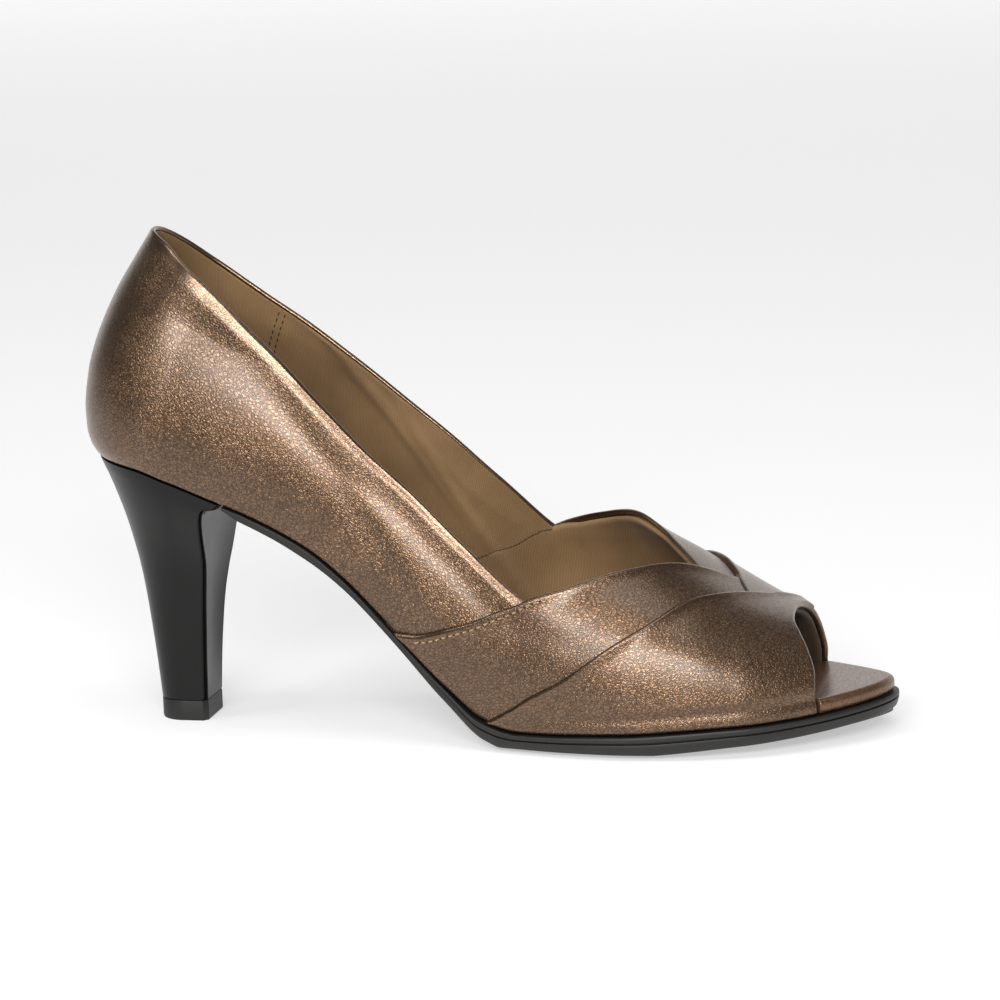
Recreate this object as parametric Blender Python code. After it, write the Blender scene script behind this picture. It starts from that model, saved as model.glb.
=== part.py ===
"""A women's peep toe pump with a block heel, a right shoe, standing empty on its sole.

Every piece is worked out from one last, the form that such a shoe is built on. A place on the last has two
parameters. The first runs along the shoe, from 0 at the back to 1 at the toe. The second runs across it, from
-1 at the outer feather edge, over the ridge at 0, to 1 at the inner feather edge. Lengths are in metres.
"""

import bpy
import bmesh
import numpy as np

# Driving sizes of the last
LAST_LENGTH = 0.2365
BALL_WIDTH = 0.0760
HEEL_HEIGHT = 0.0797
TOE_SPRING = 0.0045
INSTEP_HEIGHT = 0.0495
COLLAR_HEIGHT = 0.0665
BACK_LEAN = 0.0240
COUNTER_BULGE = 0.0020
TOE_SHIFT = 0.0035

# Thicknesses and edges of the pieces
SOLE_THICKNESS = 0.0065
SOLE_MARGIN = 0.0031
SOLE_CROWN = 0.0013
GROOVE_DEPTH = 0.0008
INSOLE_THICKNESS = 0.0040
INSOLE_RIM = 0.0012
QUARTER_WALL = 0.0016
VAMP_LINING = 0.0014
BAND_STEP = 0.0005
BAND_ROOT = 0.0004
BAND_TIP = 0.0007
QUARTER_BOW = 0.0030
LINING_SETBACK = 0.0022
LINING_TRIM = 0.0004
LAYER_TRIM = 0.0001

# Sizes of the heel
TOP_PIECE_HEIGHT = 0.0060
HEEL_TIP_WIDTH = 0.0170
HEEL_TIP_BACK = 0.0197
HEEL_TIP_FRONT = 0.0355
HEEL_TIP_ROUND = 0.0085
HEEL_SEAT_FRONT = 0.0480
BREAST_CHAMFER = 0.0012
BREAST_HOLLOW = 0.0016

# Room between pieces that meet
GAP = 0.0003

# Bottom of the last. Columns: place, share of the heel's fall, share of the toe spring
BOTTOM = np.array([
    [0.000, 1.005, 0.00],
    [0.070, 0.976, 0.00],
    [0.115, 0.930, 0.00],
    [0.160, 0.878, 0.00],
    [0.222, 0.805, 0.00],
    [0.300, 0.682, 0.00],
    [0.350, 0.560, 0.00],
    [0.418, 0.341, 0.00],
    [0.480, 0.146, 0.00],
    [0.530, 0.022, 0.00],
    [0.575, -0.012, 0.00],
    [0.700, -0.003, 0.08],
    [0.800, 0.000, 0.36],
    [0.900, 0.000, 0.60],
    [1.000, 0.000, 1.00],
])

# Plan of the feather edge. Columns: place, outer and inner half width as shares of the ball width
PLAN = np.array([
    [0.125, 0.334, 0.326],
    [0.200, 0.350, 0.330],
    [0.300, 0.358, 0.310],
    [0.400, 0.366, 0.296],
    [0.480, 0.394, 0.320],
    [0.560, 0.444, 0.388],
    [0.640, 0.492, 0.458],
    [0.700, 0.506, 0.488],
    [0.770, 0.488, 0.494],
    [0.840, 0.436, 0.466],
    [0.900, 0.374, 0.402],
    [1.000, 0.290, 0.260],
])

# Arch over the last. Columns: place, ridge height as a share of the instep, ridge's shift to the inner side
# as a share of the ball width, squareness of the arch
ARCH = np.array([
    [0.000, 1.630, 0.00, 2.0],
    [0.150, 1.610, 0.00, 2.0],
    [0.300, 1.660, 0.02, 2.0],
    [0.420, 1.910, 0.04, 2.1],
    [0.500, 1.925, 0.05, 2.2],
    [0.580, 1.545, 0.06, 2.3],
    [0.640, 1.240, 0.07, 2.3],
    [0.700, 1.042, 0.08, 2.3],
    [0.760, 0.857, 0.08, 2.3],
    [0.820, 0.655, 0.08, 2.4],
    [0.860, 0.540, 0.07, 2.4],
    [0.920, 0.425, 0.06, 2.5],
    [1.000, 0.335, 0.05, 2.5],
])

# Back line. Columns: height as a share of the collar's, lean as a share of the back's
BACK = np.array([
    [0.00, 0.223],
    [0.06, 0.117],
    [0.12, 0.077],
    [0.20, 0.070],
    [0.38, 0.135],
    [0.50, 0.232],
    [0.62, 0.372],
    [0.75, 0.560],
    [0.87, 0.775],
    [1.00, 1.005],
    [1.20, 1.350],
])

# Collar line. Columns: place, outer and inner height above the floor as shares of heel and collar together
COLLAR = np.array([
    [0.000, 1.000, 1.000],
    [0.041, 0.974, 0.962],
    [0.090, 0.928, 0.917],
    [0.171, 0.847, 0.846],
    [0.247, 0.764, 0.781],
    [0.319, 0.668, 0.709],
    [0.386, 0.570, 0.632],
    [0.450, 0.481, 0.554],
    [0.508, 0.393, 0.467],
    [0.573, 0.305, 0.363],
    [0.660, 0.225, 0.260],
])

# Rear edges of the crossed bands, from the feather edge over the ridge. Columns: place across, place along
OUTER_REAR_BAND = np.array([
    [-1.000, 0.413],
    [-0.950, 0.445],
    [-0.880, 0.482],
    [-0.800, 0.523],
    [-0.710, 0.565],
    [-0.620, 0.606],
    [-0.500, 0.653],
    [-0.360, 0.702],
    [-0.205, 0.747],
    [-0.085, 0.785],
    [0.050, 0.826],
    [0.250, 0.858],
    [0.600, 0.876],
])
INNER_REAR_BAND = np.array([
    [1.00, 0.404],
    [0.93, 0.440],
    [0.84, 0.482],
    [0.74, 0.525],
    [0.62, 0.560],
    [0.50, 0.602],
    [0.40, 0.630],
    [0.30, 0.654],
    [0.15, 0.686],
    [0.02, 0.723],
    [-0.12, 0.770],
    [-0.30, 0.810],
    [-0.70, 0.860],
])
INNER_FRONT_BAND = np.array([
    [1.00, 0.520],
    [0.92, 0.566],
    [0.82, 0.615],
    [0.70, 0.662],
    [0.55, 0.708],
    [0.40, 0.741],
    [0.22, 0.775],
    [0.05, 0.802],
    [-0.10, 0.828],
    [-0.25, 0.850],
    [-0.60, 0.890],
])
OUTER_FRONT_BAND = np.array([
    [-1.000, 0.531],
    [-0.920, 0.580],
    [-0.840, 0.629],
    [-0.720, 0.679],
    [-0.550, 0.735],
    [-0.410, 0.766],
    [-0.275, 0.795],
    [-0.165, 0.817],
    [-0.080, 0.834],
    [0.000, 0.850],
    [0.160, 0.870],
    [0.300, 0.879],
])

# Edge of the toe opening. Columns: place across, place along
TOE_OPENING = np.array([
    [-1.00, 0.924],
    [-0.86, 0.922],
    [-0.66, 0.921],
    [-0.43, 0.911],
    [-0.28, 0.900],
    [-0.14, 0.889],
    [0.00, 0.885],
    [0.20, 0.883],
    [0.49, 0.884],
    [0.65, 0.889],
    [0.80, 0.894],
    [1.00, 0.897],
])

# Underside of the sole. Columns: place, thickness as a share of the forefoot's, margin as a share of the full
# margin, share of the groove and crown
UNDERSIDE = np.array([
    [0.170, 0.28, 0.20, 0.0],
    [0.260, 0.35, 0.20, 0.0],
    [0.300, 0.40, 0.22, 0.0],
    [0.345, 0.34, 0.28, 0.0],
    [0.400, 0.31, 0.36, 0.0],
    [0.436, 0.36, 0.45, 0.0],
    [0.466, 0.50, 0.52, 0.1],
    [0.496, 0.71, 0.68, 0.5],
    [0.530, 0.97, 0.90, 1.0],
    [0.600, 1.10, 1.00, 1.0],
    [0.740, 1.10, 1.00, 1.0],
    [0.850, 1.00, 0.96, 1.0],
    [1.000, 0.93, 0.80, 1.0],
])

# Side of the sole, top to bottom. Columns: depth as a share of the thickness, outset in groove depths
SIDE = np.array([
    [0.00, 0.0],
    [0.27, 0.1],
    [0.30, -1.0],
    [0.37, -1.0],
    [0.40, 0.0],
    [0.88, -0.7],
    [1.00, -2.2],
])

# Heel. Columns: share of the rise from tip to seat, then how far the back, the front and the half width have
# gone from the tip's to the seat's
HEEL = np.array([
    [0.00, 0.000, 0.000, 0.000],
    [0.17, 0.077, 0.040, 0.040],
    [0.33, 0.163, 0.095, 0.100],
    [0.45, 0.235, 0.150, 0.170],
    [0.56, 0.318, 0.225, 0.270],
    [0.66, 0.425, 0.300, 0.410],
    [0.77, 0.560, 0.350, 0.620],
    [0.86, 0.710, 0.410, 0.800],
    [0.93, 0.845, 0.520, 0.920],
    [0.97, 0.935, 0.860, 0.970],
    [1.00, 1.000, 1.000, 1.000],
])

# Rounding of the last's two ends, as shares of its length, and the squareness of each
HEEL_ROUND = 0.125
HEEL_SQUARE = 2.15
TOE_ROUND = 0.165
TOE_SQUARE = 1.85

# How far along the back's lean is felt, and how far up the counter's bulge
LEAN_REACH = 0.50
BULGE_REACH = 0.68

# Height over which the wall's direction turns from level at the feather edge
FEATHER_TURN = 0.008

# Ends of the quarters, under the outer and the inner band: places along, at the feather edge and at the collar
QUARTER_FOOT = (0.433, 0.438)
QUARTER_RIM = (0.612, 0.606)

# Fineness of the solids. A crowding above 1 draws points to the start of their run, where it bends most
QUARTER_ROWS = 9
QUARTER_COLUMNS = 30
QUARTER_ROW_CROWDING = 1.5
QUARTER_COLUMN_CROWDING = 1.8
QUARTER_BOW_CROWDING = 8
BAND_ROWS = 8
BAND_COLUMNS = 24
LINING_ROWS = 13
LINING_COLUMNS = 45
VAMP_ROW_CROWDING = 1.3
VAMP_FOOT = 0.997
LINING_FOOT = 0.99925
SOLE_STATIONS = 42
SOLE_CROWDING = 0.95
INSOLE_STATIONS = 44
PLATE_SHARES = np.array([0.0, 0.4, 0.75])
BREAST_SHARES = np.array([0.0, 0.35, 0.7, 1.0])
HEEL_SECTIONS = 15
HEEL_TURNS = 9
HEEL_STRAIGHTS = 4
SAMPLES = 400
NEAR = 2e-4
MERGE = 1e-6
SHARP_ANGLE = np.radians(40)


def smooth(table, places, column):
    """Reads a column of a table between its rows: a cubic through the rows that never swings past them."""
    order = np.argsort(table[:, 0])
    xs = table[order, 0]
    ys = table[order, column]
    steps = np.diff(xs)
    slopes = np.diff(ys) / steps
    tangents = np.concatenate([slopes[:1], np.zeros(len(xs) - 2), slopes[-1:]])
    level = slopes[:-1] * slopes[1:] > 0
    blend = 2 * slopes[:-1] * slopes[1:] / np.where(level, slopes[:-1] + slopes[1:], 1)
    tangents[1:-1] = np.where(level, blend, 0)
    places = np.clip(places, xs[0], xs[-1])
    row = np.clip(np.searchsorted(xs, places, side="right") - 1, 0, len(xs) - 2)
    u = (places - xs[row]) / steps[row]
    start = (1 + 2 * u) * ys[row] + u * steps[row] * tangents[row]
    end = (3 - 2 * u) * ys[row + 1] - (1 - u) * steps[row] * tangents[row + 1]
    return (1 - u) ** 2 * start + u ** 2 * end


def bottom_height(along):
    """Height of the last's bottom above the floor: the sole, the fall from the heel and the toe spring."""
    fall = (HEEL_HEIGHT - SOLE_THICKNESS) * smooth(BOTTOM, along, 1)
    return SOLE_THICKNESS + fall + TOE_SPRING * smooth(BOTTOM, along, 2)


def ridge_height(along):
    """Height of the arch's ridge above the last's bottom."""
    return INSTEP_HEIGHT * smooth(ARCH, along, 1)


def end_round(along):
    """Share of the half width that the rounding of heel and toe leaves: quarters of superellipses."""
    heel = np.clip(1 - along / HEEL_ROUND, 0, 1)
    toe = np.clip((along - 1 + TOE_ROUND) / TOE_ROUND, 0, 1)
    back = (1 - heel ** HEEL_SQUARE) ** (1 / HEEL_SQUARE)
    return back * (1 - toe ** TOE_SQUARE) ** (1 / TOE_SQUARE)


def last_point(along, across):
    """Point on the last: a superelliptic arch from feather to ridge, leaning with the back, closed at both ends."""
    along, across = np.broadcast_arrays(np.asarray(along, float), np.asarray(across, float))
    side = np.where(across < 0, -1.0, 1.0)
    angle = (1 - np.abs(across)) * np.pi / 2
    flat = np.maximum(np.cos(angle), 0)
    half = BALL_WIDTH * np.where(side < 0, smooth(PLAN, along, 1), smooth(PLAN, along, 2))
    shift = BALL_WIDTH * smooth(ARCH, along, 2)
    rise = ridge_height(along) * np.sin(angle)
    arm = (half - side * shift) * flat ** (2 / smooth(ARCH, along, 3))
    swell = np.sin(np.pi * np.clip(rise / (BULGE_REACH * COLLAR_HEIGHT), 0, 1))
    puff = COUNTER_BULGE * swell * np.clip(3 * flat, 0, 1)
    centre = TOE_SHIFT * np.clip(2 * along - 1, 0, 1) ** 2
    y = centre + (shift + side * (arm + puff) - centre) * end_round(along)
    fade = np.clip(1 - along / LEAN_REACH, 0, 1)
    lean = BACK_LEAN * smooth(BACK, rise / COLLAR_HEIGHT, 1) * fade ** 2 * (3 - 2 * fade)
    return np.stack([LAST_LENGTH * along + lean, y, bottom_height(along) + rise], -1)


def outward(along, across):
    """Unit direction out of the last, from differences along and across it, turned level at the feather edge."""
    back = last_point(np.clip(along - NEAR, MERGE, 1), across)
    front = last_point(np.clip(along + NEAR, MERGE, 1), across)
    outer = last_point(along, np.clip(across - NEAR, -1, 1))
    inner = last_point(along, np.clip(across + NEAR, -1, 1))
    normal = np.cross(inner - outer, back - front)
    normal /= np.maximum(np.linalg.norm(normal, axis=-1, keepdims=True), np.finfo(float).tiny)
    rise = last_point(along, across)[..., 2] - bottom_height(along)
    normal[..., 2] *= np.clip(rise / FEATHER_TURN, 0, 1)
    return normal


def wall_point(along, across, out):
    """Point of the upper: the last moved outward, standing a gap above the sole."""
    along, across = np.broadcast_arrays(np.asarray(along, float), np.asarray(across, float))
    point = last_point(along, across) + outward(along, across) * out
    point[..., 2] += GAP
    return point


def rise_across(along, side, rise):
    """Place across at which the wall has risen so far above the last's bottom, on the side of that sign."""
    share = np.clip(rise / ridge_height(along), 0, 1)
    return side * (1 - np.arcsin(share) * 2 / np.pi)


def collar_across(along, side):
    """Place across at which the wall reaches the collar line."""
    height = (HEEL_HEIGHT + COLLAR_HEIGHT) * smooth(COLLAR, along, 1 if side < 0 else 2)
    return rise_across(along, side, height - bottom_height(along))


def place_at(x):
    """Place along the feather edge of the rear half at a distance from the last's back."""
    places = np.linspace(0, 0.5, SAMPLES)
    return np.interp(x, last_point(places, -1.0)[:, 0], places)


def plan_edges(margin, places):
    """Outer and inner edge at each place: the feather edge moved out in plan by a margin."""
    edges = []
    for side in (-1.0, 1.0):
        edge = last_point(places, side)
        before = last_point(np.clip(places - NEAR, 0, 1), side)
        after = last_point(np.clip(places + NEAR, 0, 1), side)
        run = (after - before)[:, :2]
        run /= np.linalg.norm(run, axis=1, keepdims=True)
        out = np.stack([-side * run[:, 1], side * run[:, 0]], -1)
        out[places >= 1] = (1.0, 0.0)
        edge[:, :2] += out * np.broadcast_to(margin, places.shape)[:, None]
        edges.append(edge)
    return edges


def placing():
    """Shift from the last's back to the middle of the shoe's box, set by the counter behind and the sole in front."""
    places = np.linspace(0.5, 1, SAMPLES)
    outer, inner = plan_edges(SOLE_MARGIN * smooth(UNDERSIDE, places, 2), places)
    rear = BACK_LEAN * BACK[:, 1].min()
    return np.array([-(rear + outer[-1, 0]) / 2, -(outer[:, 1].min() + inner[:, 1].max()) / 2, 0.0])


def add_material(name, colour, roughness, metallic):
    material = bpy.data.materials.new(name)
    material.use_nodes = True
    shader = material.node_tree.nodes["Principled BSDF"]
    shader.inputs["Base Color"].default_value = (*colour, 1.0)
    shader.inputs["Roughness"].default_value = roughness
    shader.inputs["Metallic"].default_value = metallic
    return material


def add_loft(name, halves, collection, material=None):
    """A closed solid from two grids of points, the first and the second half of each section.

    A section goes along its first half and back along its second. Strips between matching points of the two
    halves close the first and the last section.
    """
    first, second = halves
    loops = np.concatenate([first, second[:, ::-1]], 1) + placing()
    count, size = loops.shape[:2]
    index = np.arange(count * size).reshape(count, size)
    turned = np.roll(index, -1, axis=1)
    sides = np.stack([index[:-1], turned[:-1], turned[1:], index[1:]], -1).reshape(-1, 4)
    k = np.arange(size // 2 - 1)
    strip = np.stack([k, k + 1, size - 2 - k, size - 1 - k], -1)
    faces = np.concatenate([sides, strip[:, ::-1], strip + (count - 1) * size])
    mesh = bpy.data.meshes.new(name)
    mesh.from_pydata(loops.reshape(-1, 3).tolist(), [], faces.tolist())
    form = bmesh.new()
    form.from_mesh(mesh)
    bmesh.ops.remove_doubles(form, verts=form.verts, dist=MERGE)
    bmesh.ops.triangulate(form, faces=form.faces)
    if form.calc_volume(signed=True) < 0:
        bmesh.ops.reverse_faces(form, faces=form.faces)
    form.to_mesh(mesh)
    form.free()
    mesh.shade_smooth()
    mesh.set_sharp_from_angle(angle=SHARP_ANGLE)
    piece = bpy.data.objects.new(name, mesh)
    collection.objects.link(piece)
    if material:
        mesh.materials.append(material)
    return piece


def slab(along, across, outer, inner):
    """The outer and the inner face of a wall, as the two halves of its sections."""
    return wall_point(along, across, outer), wall_point(along, across, -inner)


def quarter_wall():
    """The wall round the back, from under the outer bands to under the inner ones, up to the collar."""
    rows = np.linspace(0, 1, QUARTER_ROWS)[None, :] ** QUARTER_ROW_CROWDING
    spread = np.linspace(0, 1, QUARTER_COLUMNS)[:, None] ** QUARTER_COLUMN_CROWDING
    sides = []
    for side, foot_end, rim_end in zip((-1.0, 1.0), QUARTER_FOOT, QUARTER_RIM):
        foot = foot_end * spread
        rim = rim_end * spread
        bow = QUARTER_BOW / LAST_LENGTH * spread ** QUARTER_BOW_CROWDING * 4 * rows * (1 - rows)
        along = foot + (rim - foot) * rows + bow
        sides.append((along, side + (collar_across(rim, side) - side) * rows))
    along = np.concatenate([sides[0][0][::-1], sides[1][0][1:]])
    across = np.concatenate([sides[0][1][::-1], sides[1][1][1:]])
    return slab(along, across, 0.0, QUARTER_WALL)


def vamp_rows(count):
    """Shares of the way from a vamp piece's rear edge to the toe opening, crowded towards the opening."""
    return 1 - np.linspace(1, 0, count)[None, :] ** VAMP_ROW_CROWDING


def band_wall(rear, side, layer, layers):
    """A band from its rear edge to the toe opening, from one feather edge over the ridge, on its layer."""
    across = np.linspace(side * VAMP_FOOT, rear[-1, 0], BAND_COLUMNS)[:, None]
    start = smooth(rear, across, 1)
    end = smooth(TOE_OPENING, across, 1) - (layers - layer) * LAYER_TRIM / LAST_LENGTH
    end = np.maximum(end, start + BAND_TIP / LAST_LENGTH)
    along = start + (end - start) * vamp_rows(BAND_ROWS)
    return slab(along, across, layer * BAND_STEP, BAND_ROOT)


def vamp_lining_wall():
    """Lining and backing under all four bands, a little inside the throat that they leave."""
    across = np.linspace(-LINING_FOOT, LINING_FOOT, LINING_COLUMNS)[:, None]
    outer = smooth(OUTER_REAR_BAND, across, 1)
    inner = smooth(INNER_REAR_BAND, across, 1)
    start = np.minimum(outer, inner)
    start = np.where(across < INNER_REAR_BAND[-1, 0], outer, start)
    start = np.where(across > OUTER_REAR_BAND[-1, 0], inner, start) + LINING_SETBACK / LAST_LENGTH
    end = smooth(TOE_OPENING, across, 1) - LINING_TRIM / LAST_LENGTH
    along = start + (end - start) * vamp_rows(LINING_ROWS)
    return slab(along, across, BAND_STEP / 2, VAMP_LINING)


def plate(levels, crown):
    """A flat piece from its two edges at several levels, with its underside lowered by a crown in the middle.

    Each half goes out on top, down the side and back below.
    """
    top = (levels[0][0] + levels[0][1]) / 2
    low = (levels[-1][0] + levels[-1][1]) / 2
    halves = []
    for side in (0, 1):
        path = [top + (levels[0][side] - top) * share for share in PLATE_SHARES]
        path += [level[side] for level in levels]
        for share in PLATE_SHARES[::-1]:
            point = low + (levels[-1][side] - low) * share
            point[:, 2] -= crown * (1 - np.clip(2 * share - 1, 0, 1) ** 2)
            path.append(point)
        halves.append(np.stack(path, 1))
    return halves


def outsole():
    """The sole from the heel's breast to the toe, with its grooved side and its flat spot on the floor."""
    rear = place_at(HEEL_SEAT_FRONT + GAP)
    places = rear + (1 - rear) * np.sin(np.linspace(0, 1, SOLE_STATIONS) * np.pi / 2) ** SOLE_CROWDING
    margin = SOLE_MARGIN * smooth(UNDERSIDE, places, 2)
    thick = SOLE_THICKNESS * smooth(UNDERSIDE, places, 1)
    form = smooth(UNDERSIDE, places, 3)
    top = bottom_height(places)
    low = np.maximum(top - thick, 0) + SOLE_CROWN * form
    levels = []
    for depth, outset in SIDE:
        edges = plan_edges(margin + outset * GROOVE_DEPTH * form, places)
        for edge in edges:
            edge[:, 2] = top + (low - top) * depth
        levels.append(edges)
    return plate(levels, SOLE_CROWN * form)


def insole():
    """The board inside the upper, which steps out to a covered rim where it runs through the toe opening."""
    mouths = [float(smooth(TOE_OPENING, side, 1)) for side in (-1.0, 1.0)]
    step = GAP / LAST_LENGTH
    places = 0.5 - 0.5 * np.cos(np.linspace(0, np.pi, INSOLE_STATIONS))
    places = np.sort(np.concatenate([places, *[[mouth, mouth + step, mouth + 2 * step] for mouth in mouths]]))
    room = max(QUARTER_WALL, VAMP_LINING) + GAP
    levels = []
    for rise in (INSOLE_THICKNESS, 0.0):
        edges = plan_edges(INSOLE_RIM, places)
        for edge, side, mouth in zip(edges, (-1.0, 1.0), mouths):
            edge[:, 2] += GAP + rise
            wall = wall_point(places, rise_across(places, side, rise), -room)
            within = places < mouth + 1.5 * step
            edge[within] = wall[within]
        levels.append(edges)
    return plate(levels, 0.0)


def heel_outlines(side):
    """Half of the tip's and of the seat's outline, from the breast's middle round its corner to the back."""
    turn = np.linspace(0, np.pi / 2, HEEL_TURNS)
    forward = 1 - np.cos(turn)
    out = (1 - np.cos(turn) ** HEEL_SQUARE) ** (1 / HEEL_SQUARE)
    straight = np.linspace(0, 1, HEEL_STRAIGHTS)[1:]
    tip_straight = HEEL_TIP_FRONT - HEEL_TIP_BACK - HEEL_TIP_ROUND - BREAST_CHAMFER
    tip_x = HEEL_TIP_BACK + np.concatenate([HEEL_TIP_ROUND * forward, HEEL_TIP_ROUND + tip_straight * straight])
    tip_y = side * HEEL_TIP_WIDTH / 2 * np.concatenate([out, np.ones_like(straight)])
    seat_end = place_at(HEEL_SEAT_FRONT - BREAST_CHAMFER)
    seat = last_point(np.concatenate([HEEL_ROUND * forward, HEEL_ROUND + (seat_end - HEEL_ROUND) * straight]), side)
    outlines = []
    for front, x, y in ((HEEL_TIP_FRONT, tip_x, tip_y), (HEEL_SEAT_FRONT, seat[:, 0], seat[:, 1])):
        breast = np.stack(np.broadcast_arrays(front, BREAST_SHARES * (y[-1] - side * BREAST_CHAMFER)), -1)
        outlines.append(np.concatenate([breast, np.stack([x, y], -1)[::-1]]))
    return outlines


def heel_section(side, share):
    """Half of the heel's section at a share of its rise: the tip's outline on its way to the seat's."""
    tip, seat = heel_outlines(side)
    depth = (tip[:, 0] - HEEL_TIP_BACK) / (HEEL_TIP_FRONT - HEEL_TIP_BACK)
    back, front, width = (smooth(HEEL, share, column) for column in (1, 2, 3))
    x = tip[:, 0] + (seat[:, 0] - tip[:, 0]) * (back + (front - back) * depth)
    y = tip[:, 1] + (seat[:, 1] - tip[:, 1]) * width
    x[:len(BREAST_SHARES)] -= BREAST_HOLLOW * np.sin(np.pi * share) * (1 - BREAST_SHARES ** 2)
    return x, y


def heel():
    """Block heel from its tip to the seat under the last, with its hollowed breast."""
    low = TOP_PIECE_HEIGHT + GAP
    halves = []
    for side in (-1.0, 1.0):
        rows = []
        for share in np.linspace(0, 1, HEEL_SECTIONS):
            x, y = heel_section(side, share)
            rows.append(np.stack([x, y, low + (bottom_height(place_at(x)) - low) * share], -1))
        halves.append(np.stack(rows))
    return halves


def top_piece():
    """The wearing piece under the heel, with the tip's outline and a flat foot on the floor."""
    halves = []
    for side in (-1.0, 1.0):
        x, y = heel_section(side, 0.0)
        halves.append(np.stack([np.stack([x, y, np.full(len(x), z)], -1) for z in (0.0, TOP_PIECE_HEIGHT)]))
    return halves


def main():
    for old in list(bpy.data.objects):
        bpy.data.objects.remove(old, do_unlink=True)
    pieces = bpy.data.collections.new("peep_toe_pump")
    forms = bpy.data.collections.new("joined_forms")
    for collection in (pieces, forms):
        bpy.context.scene.collection.children.link(collection)

    leather = add_material("bronze_leather", (0.19, 0.105, 0.06), 0.38, 0.55)
    cover = add_material("insole_leather", (0.17, 0.10, 0.06), 0.45, 0.4)
    rubber = add_material("sole_rubber", (0.03, 0.028, 0.026), 0.5, 0.0)
    moulded = add_material("heel_plastic", (0.025, 0.024, 0.023), 0.35, 0.0)
    wearing = add_material("top_piece_rubber", (0.03, 0.03, 0.03), 0.55, 0.0)

    upper = add_loft("upper", quarter_wall(), pieces, leather)
    bands = (
        ("inner_rear_band", INNER_REAR_BAND, 1.0),
        ("outer_rear_band", OUTER_REAR_BAND, -1.0),
        ("inner_front_band", INNER_FRONT_BAND, 1.0),
        ("outer_front_band", OUTER_FRONT_BAND, -1.0),
    )
    joined = [("vamp_lining", vamp_lining_wall())]
    for layer, (name, rear, side) in enumerate(bands, 1):
        joined.append((name, band_wall(rear, side, layer, len(bands))))
    for name, halves in joined:
        form = add_loft(name, halves, forms)
        form.hide_render = True
        form.display_type = "WIRE"
        union = upper.modifiers.new(name, "BOOLEAN")
        union.operation = "UNION"
        union.solver = "EXACT"
        union.object = form

    add_loft("insole", insole(), pieces, cover)
    add_loft("outsole", outsole(), pieces, rubber)
    add_loft("heel", heel(), pieces, moulded)
    add_loft("top_piece", top_piece(), pieces, wearing)


main()
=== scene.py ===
"""The looks of the peep toe pump: its leather, linings, stitching, moulded heel and grooved rubber sole.

Every surface is worked out from the last, the form that the shoe is built on. A place on the last has two
parameters. The first runs along the shoe, from 0 at the back to 1 at the toe. The second runs across it, from
-1 at the outer feather edge, over the ridge at 0, to 1 at the inner feather edge. Lengths are in metres.
"""

import bmesh
import bpy
import numpy as np
from mathutils import Matrix


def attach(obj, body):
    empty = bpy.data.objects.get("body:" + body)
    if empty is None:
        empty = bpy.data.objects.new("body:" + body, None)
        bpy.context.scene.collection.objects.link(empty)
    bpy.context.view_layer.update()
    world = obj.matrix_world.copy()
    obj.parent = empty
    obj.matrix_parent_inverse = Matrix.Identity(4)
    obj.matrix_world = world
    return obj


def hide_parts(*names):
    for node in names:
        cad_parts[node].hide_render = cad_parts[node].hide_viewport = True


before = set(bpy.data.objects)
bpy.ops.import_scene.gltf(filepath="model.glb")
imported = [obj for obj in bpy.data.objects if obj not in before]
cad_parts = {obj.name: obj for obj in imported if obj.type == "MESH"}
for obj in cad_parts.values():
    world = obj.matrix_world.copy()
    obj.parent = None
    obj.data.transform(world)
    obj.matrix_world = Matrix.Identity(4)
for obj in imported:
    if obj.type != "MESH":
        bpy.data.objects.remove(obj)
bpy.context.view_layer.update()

# Driving sizes of the last, as in the part
LAST_LENGTH = 0.2365
BALL_WIDTH = 0.0760
HEEL_HEIGHT = 0.0797
TOE_SPRING = 0.0045
INSTEP_HEIGHT = 0.0495
COLLAR_HEIGHT = 0.0665
BACK_LEAN = 0.0240
COUNTER_BULGE = 0.0020
TOE_SHIFT = 0.0035

# Thicknesses and edges of the pieces
SOLE_THICKNESS = 0.0065
SOLE_MARGIN = 0.0031
SOLE_CROWN = 0.0013
SOLE_TAPER = 0.0080
GROOVE_DEPTH = 0.0008
INSOLE_THICKNESS = 0.0040
INSOLE_RIM = 0.0012
INSOLE_ROUND = 0.0017
QUARTER_WALL = 0.0016
LEATHER = 0.0008
BAND_STEP = 0.0005
BAND_ROOT = 0.0004
BAND_TIP = 0.0007
BAND_FOLD = 0.0013
BAND_LIP = 0.0008
BAND_PUFF = 0.0008
PUFF_REACH = 0.0020
QUARTER_BOW = 0.0030
EDGE_ROUND = 0.0008
EDGE_TUCK = 0.0030
EDGE_SWELL = 0.00030
EDGE_HOLLOW = 0.00035
EDGE_REACH = 0.0025
FOOT_ROUND = 0.0012
LINING_DROP = 0.0011
LINING_BACK = 0.00165
LINING_FACE = 0.00205
LINING_ROUND = 0.0002
VAMP_LINING_FACE = 0.0024
LINING_SETBACK = 0.0013
LINING_LAP = 0.0034
SOCK_THICKNESS = 0.0005
SOCK_INSET = 0.0026
SOCK_ROUND = 0.0100
GAP = 0.0003

# Sizes of the heel
TOP_PIECE_HEIGHT = 0.0060
HEEL_TIP_WIDTH = 0.0170
HEEL_TIP_BACK = 0.0197
HEEL_TIP_FRONT = 0.0355
HEEL_TIP_ROUND = 0.0085
HEEL_SEAT_FRONT = 0.0480
BREAST_CHAMFER = 0.0014
BREAST_HOLLOW = 0.0012
BREAST_STEP = 0.0010
BREAST_LIP = 0.13

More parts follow.
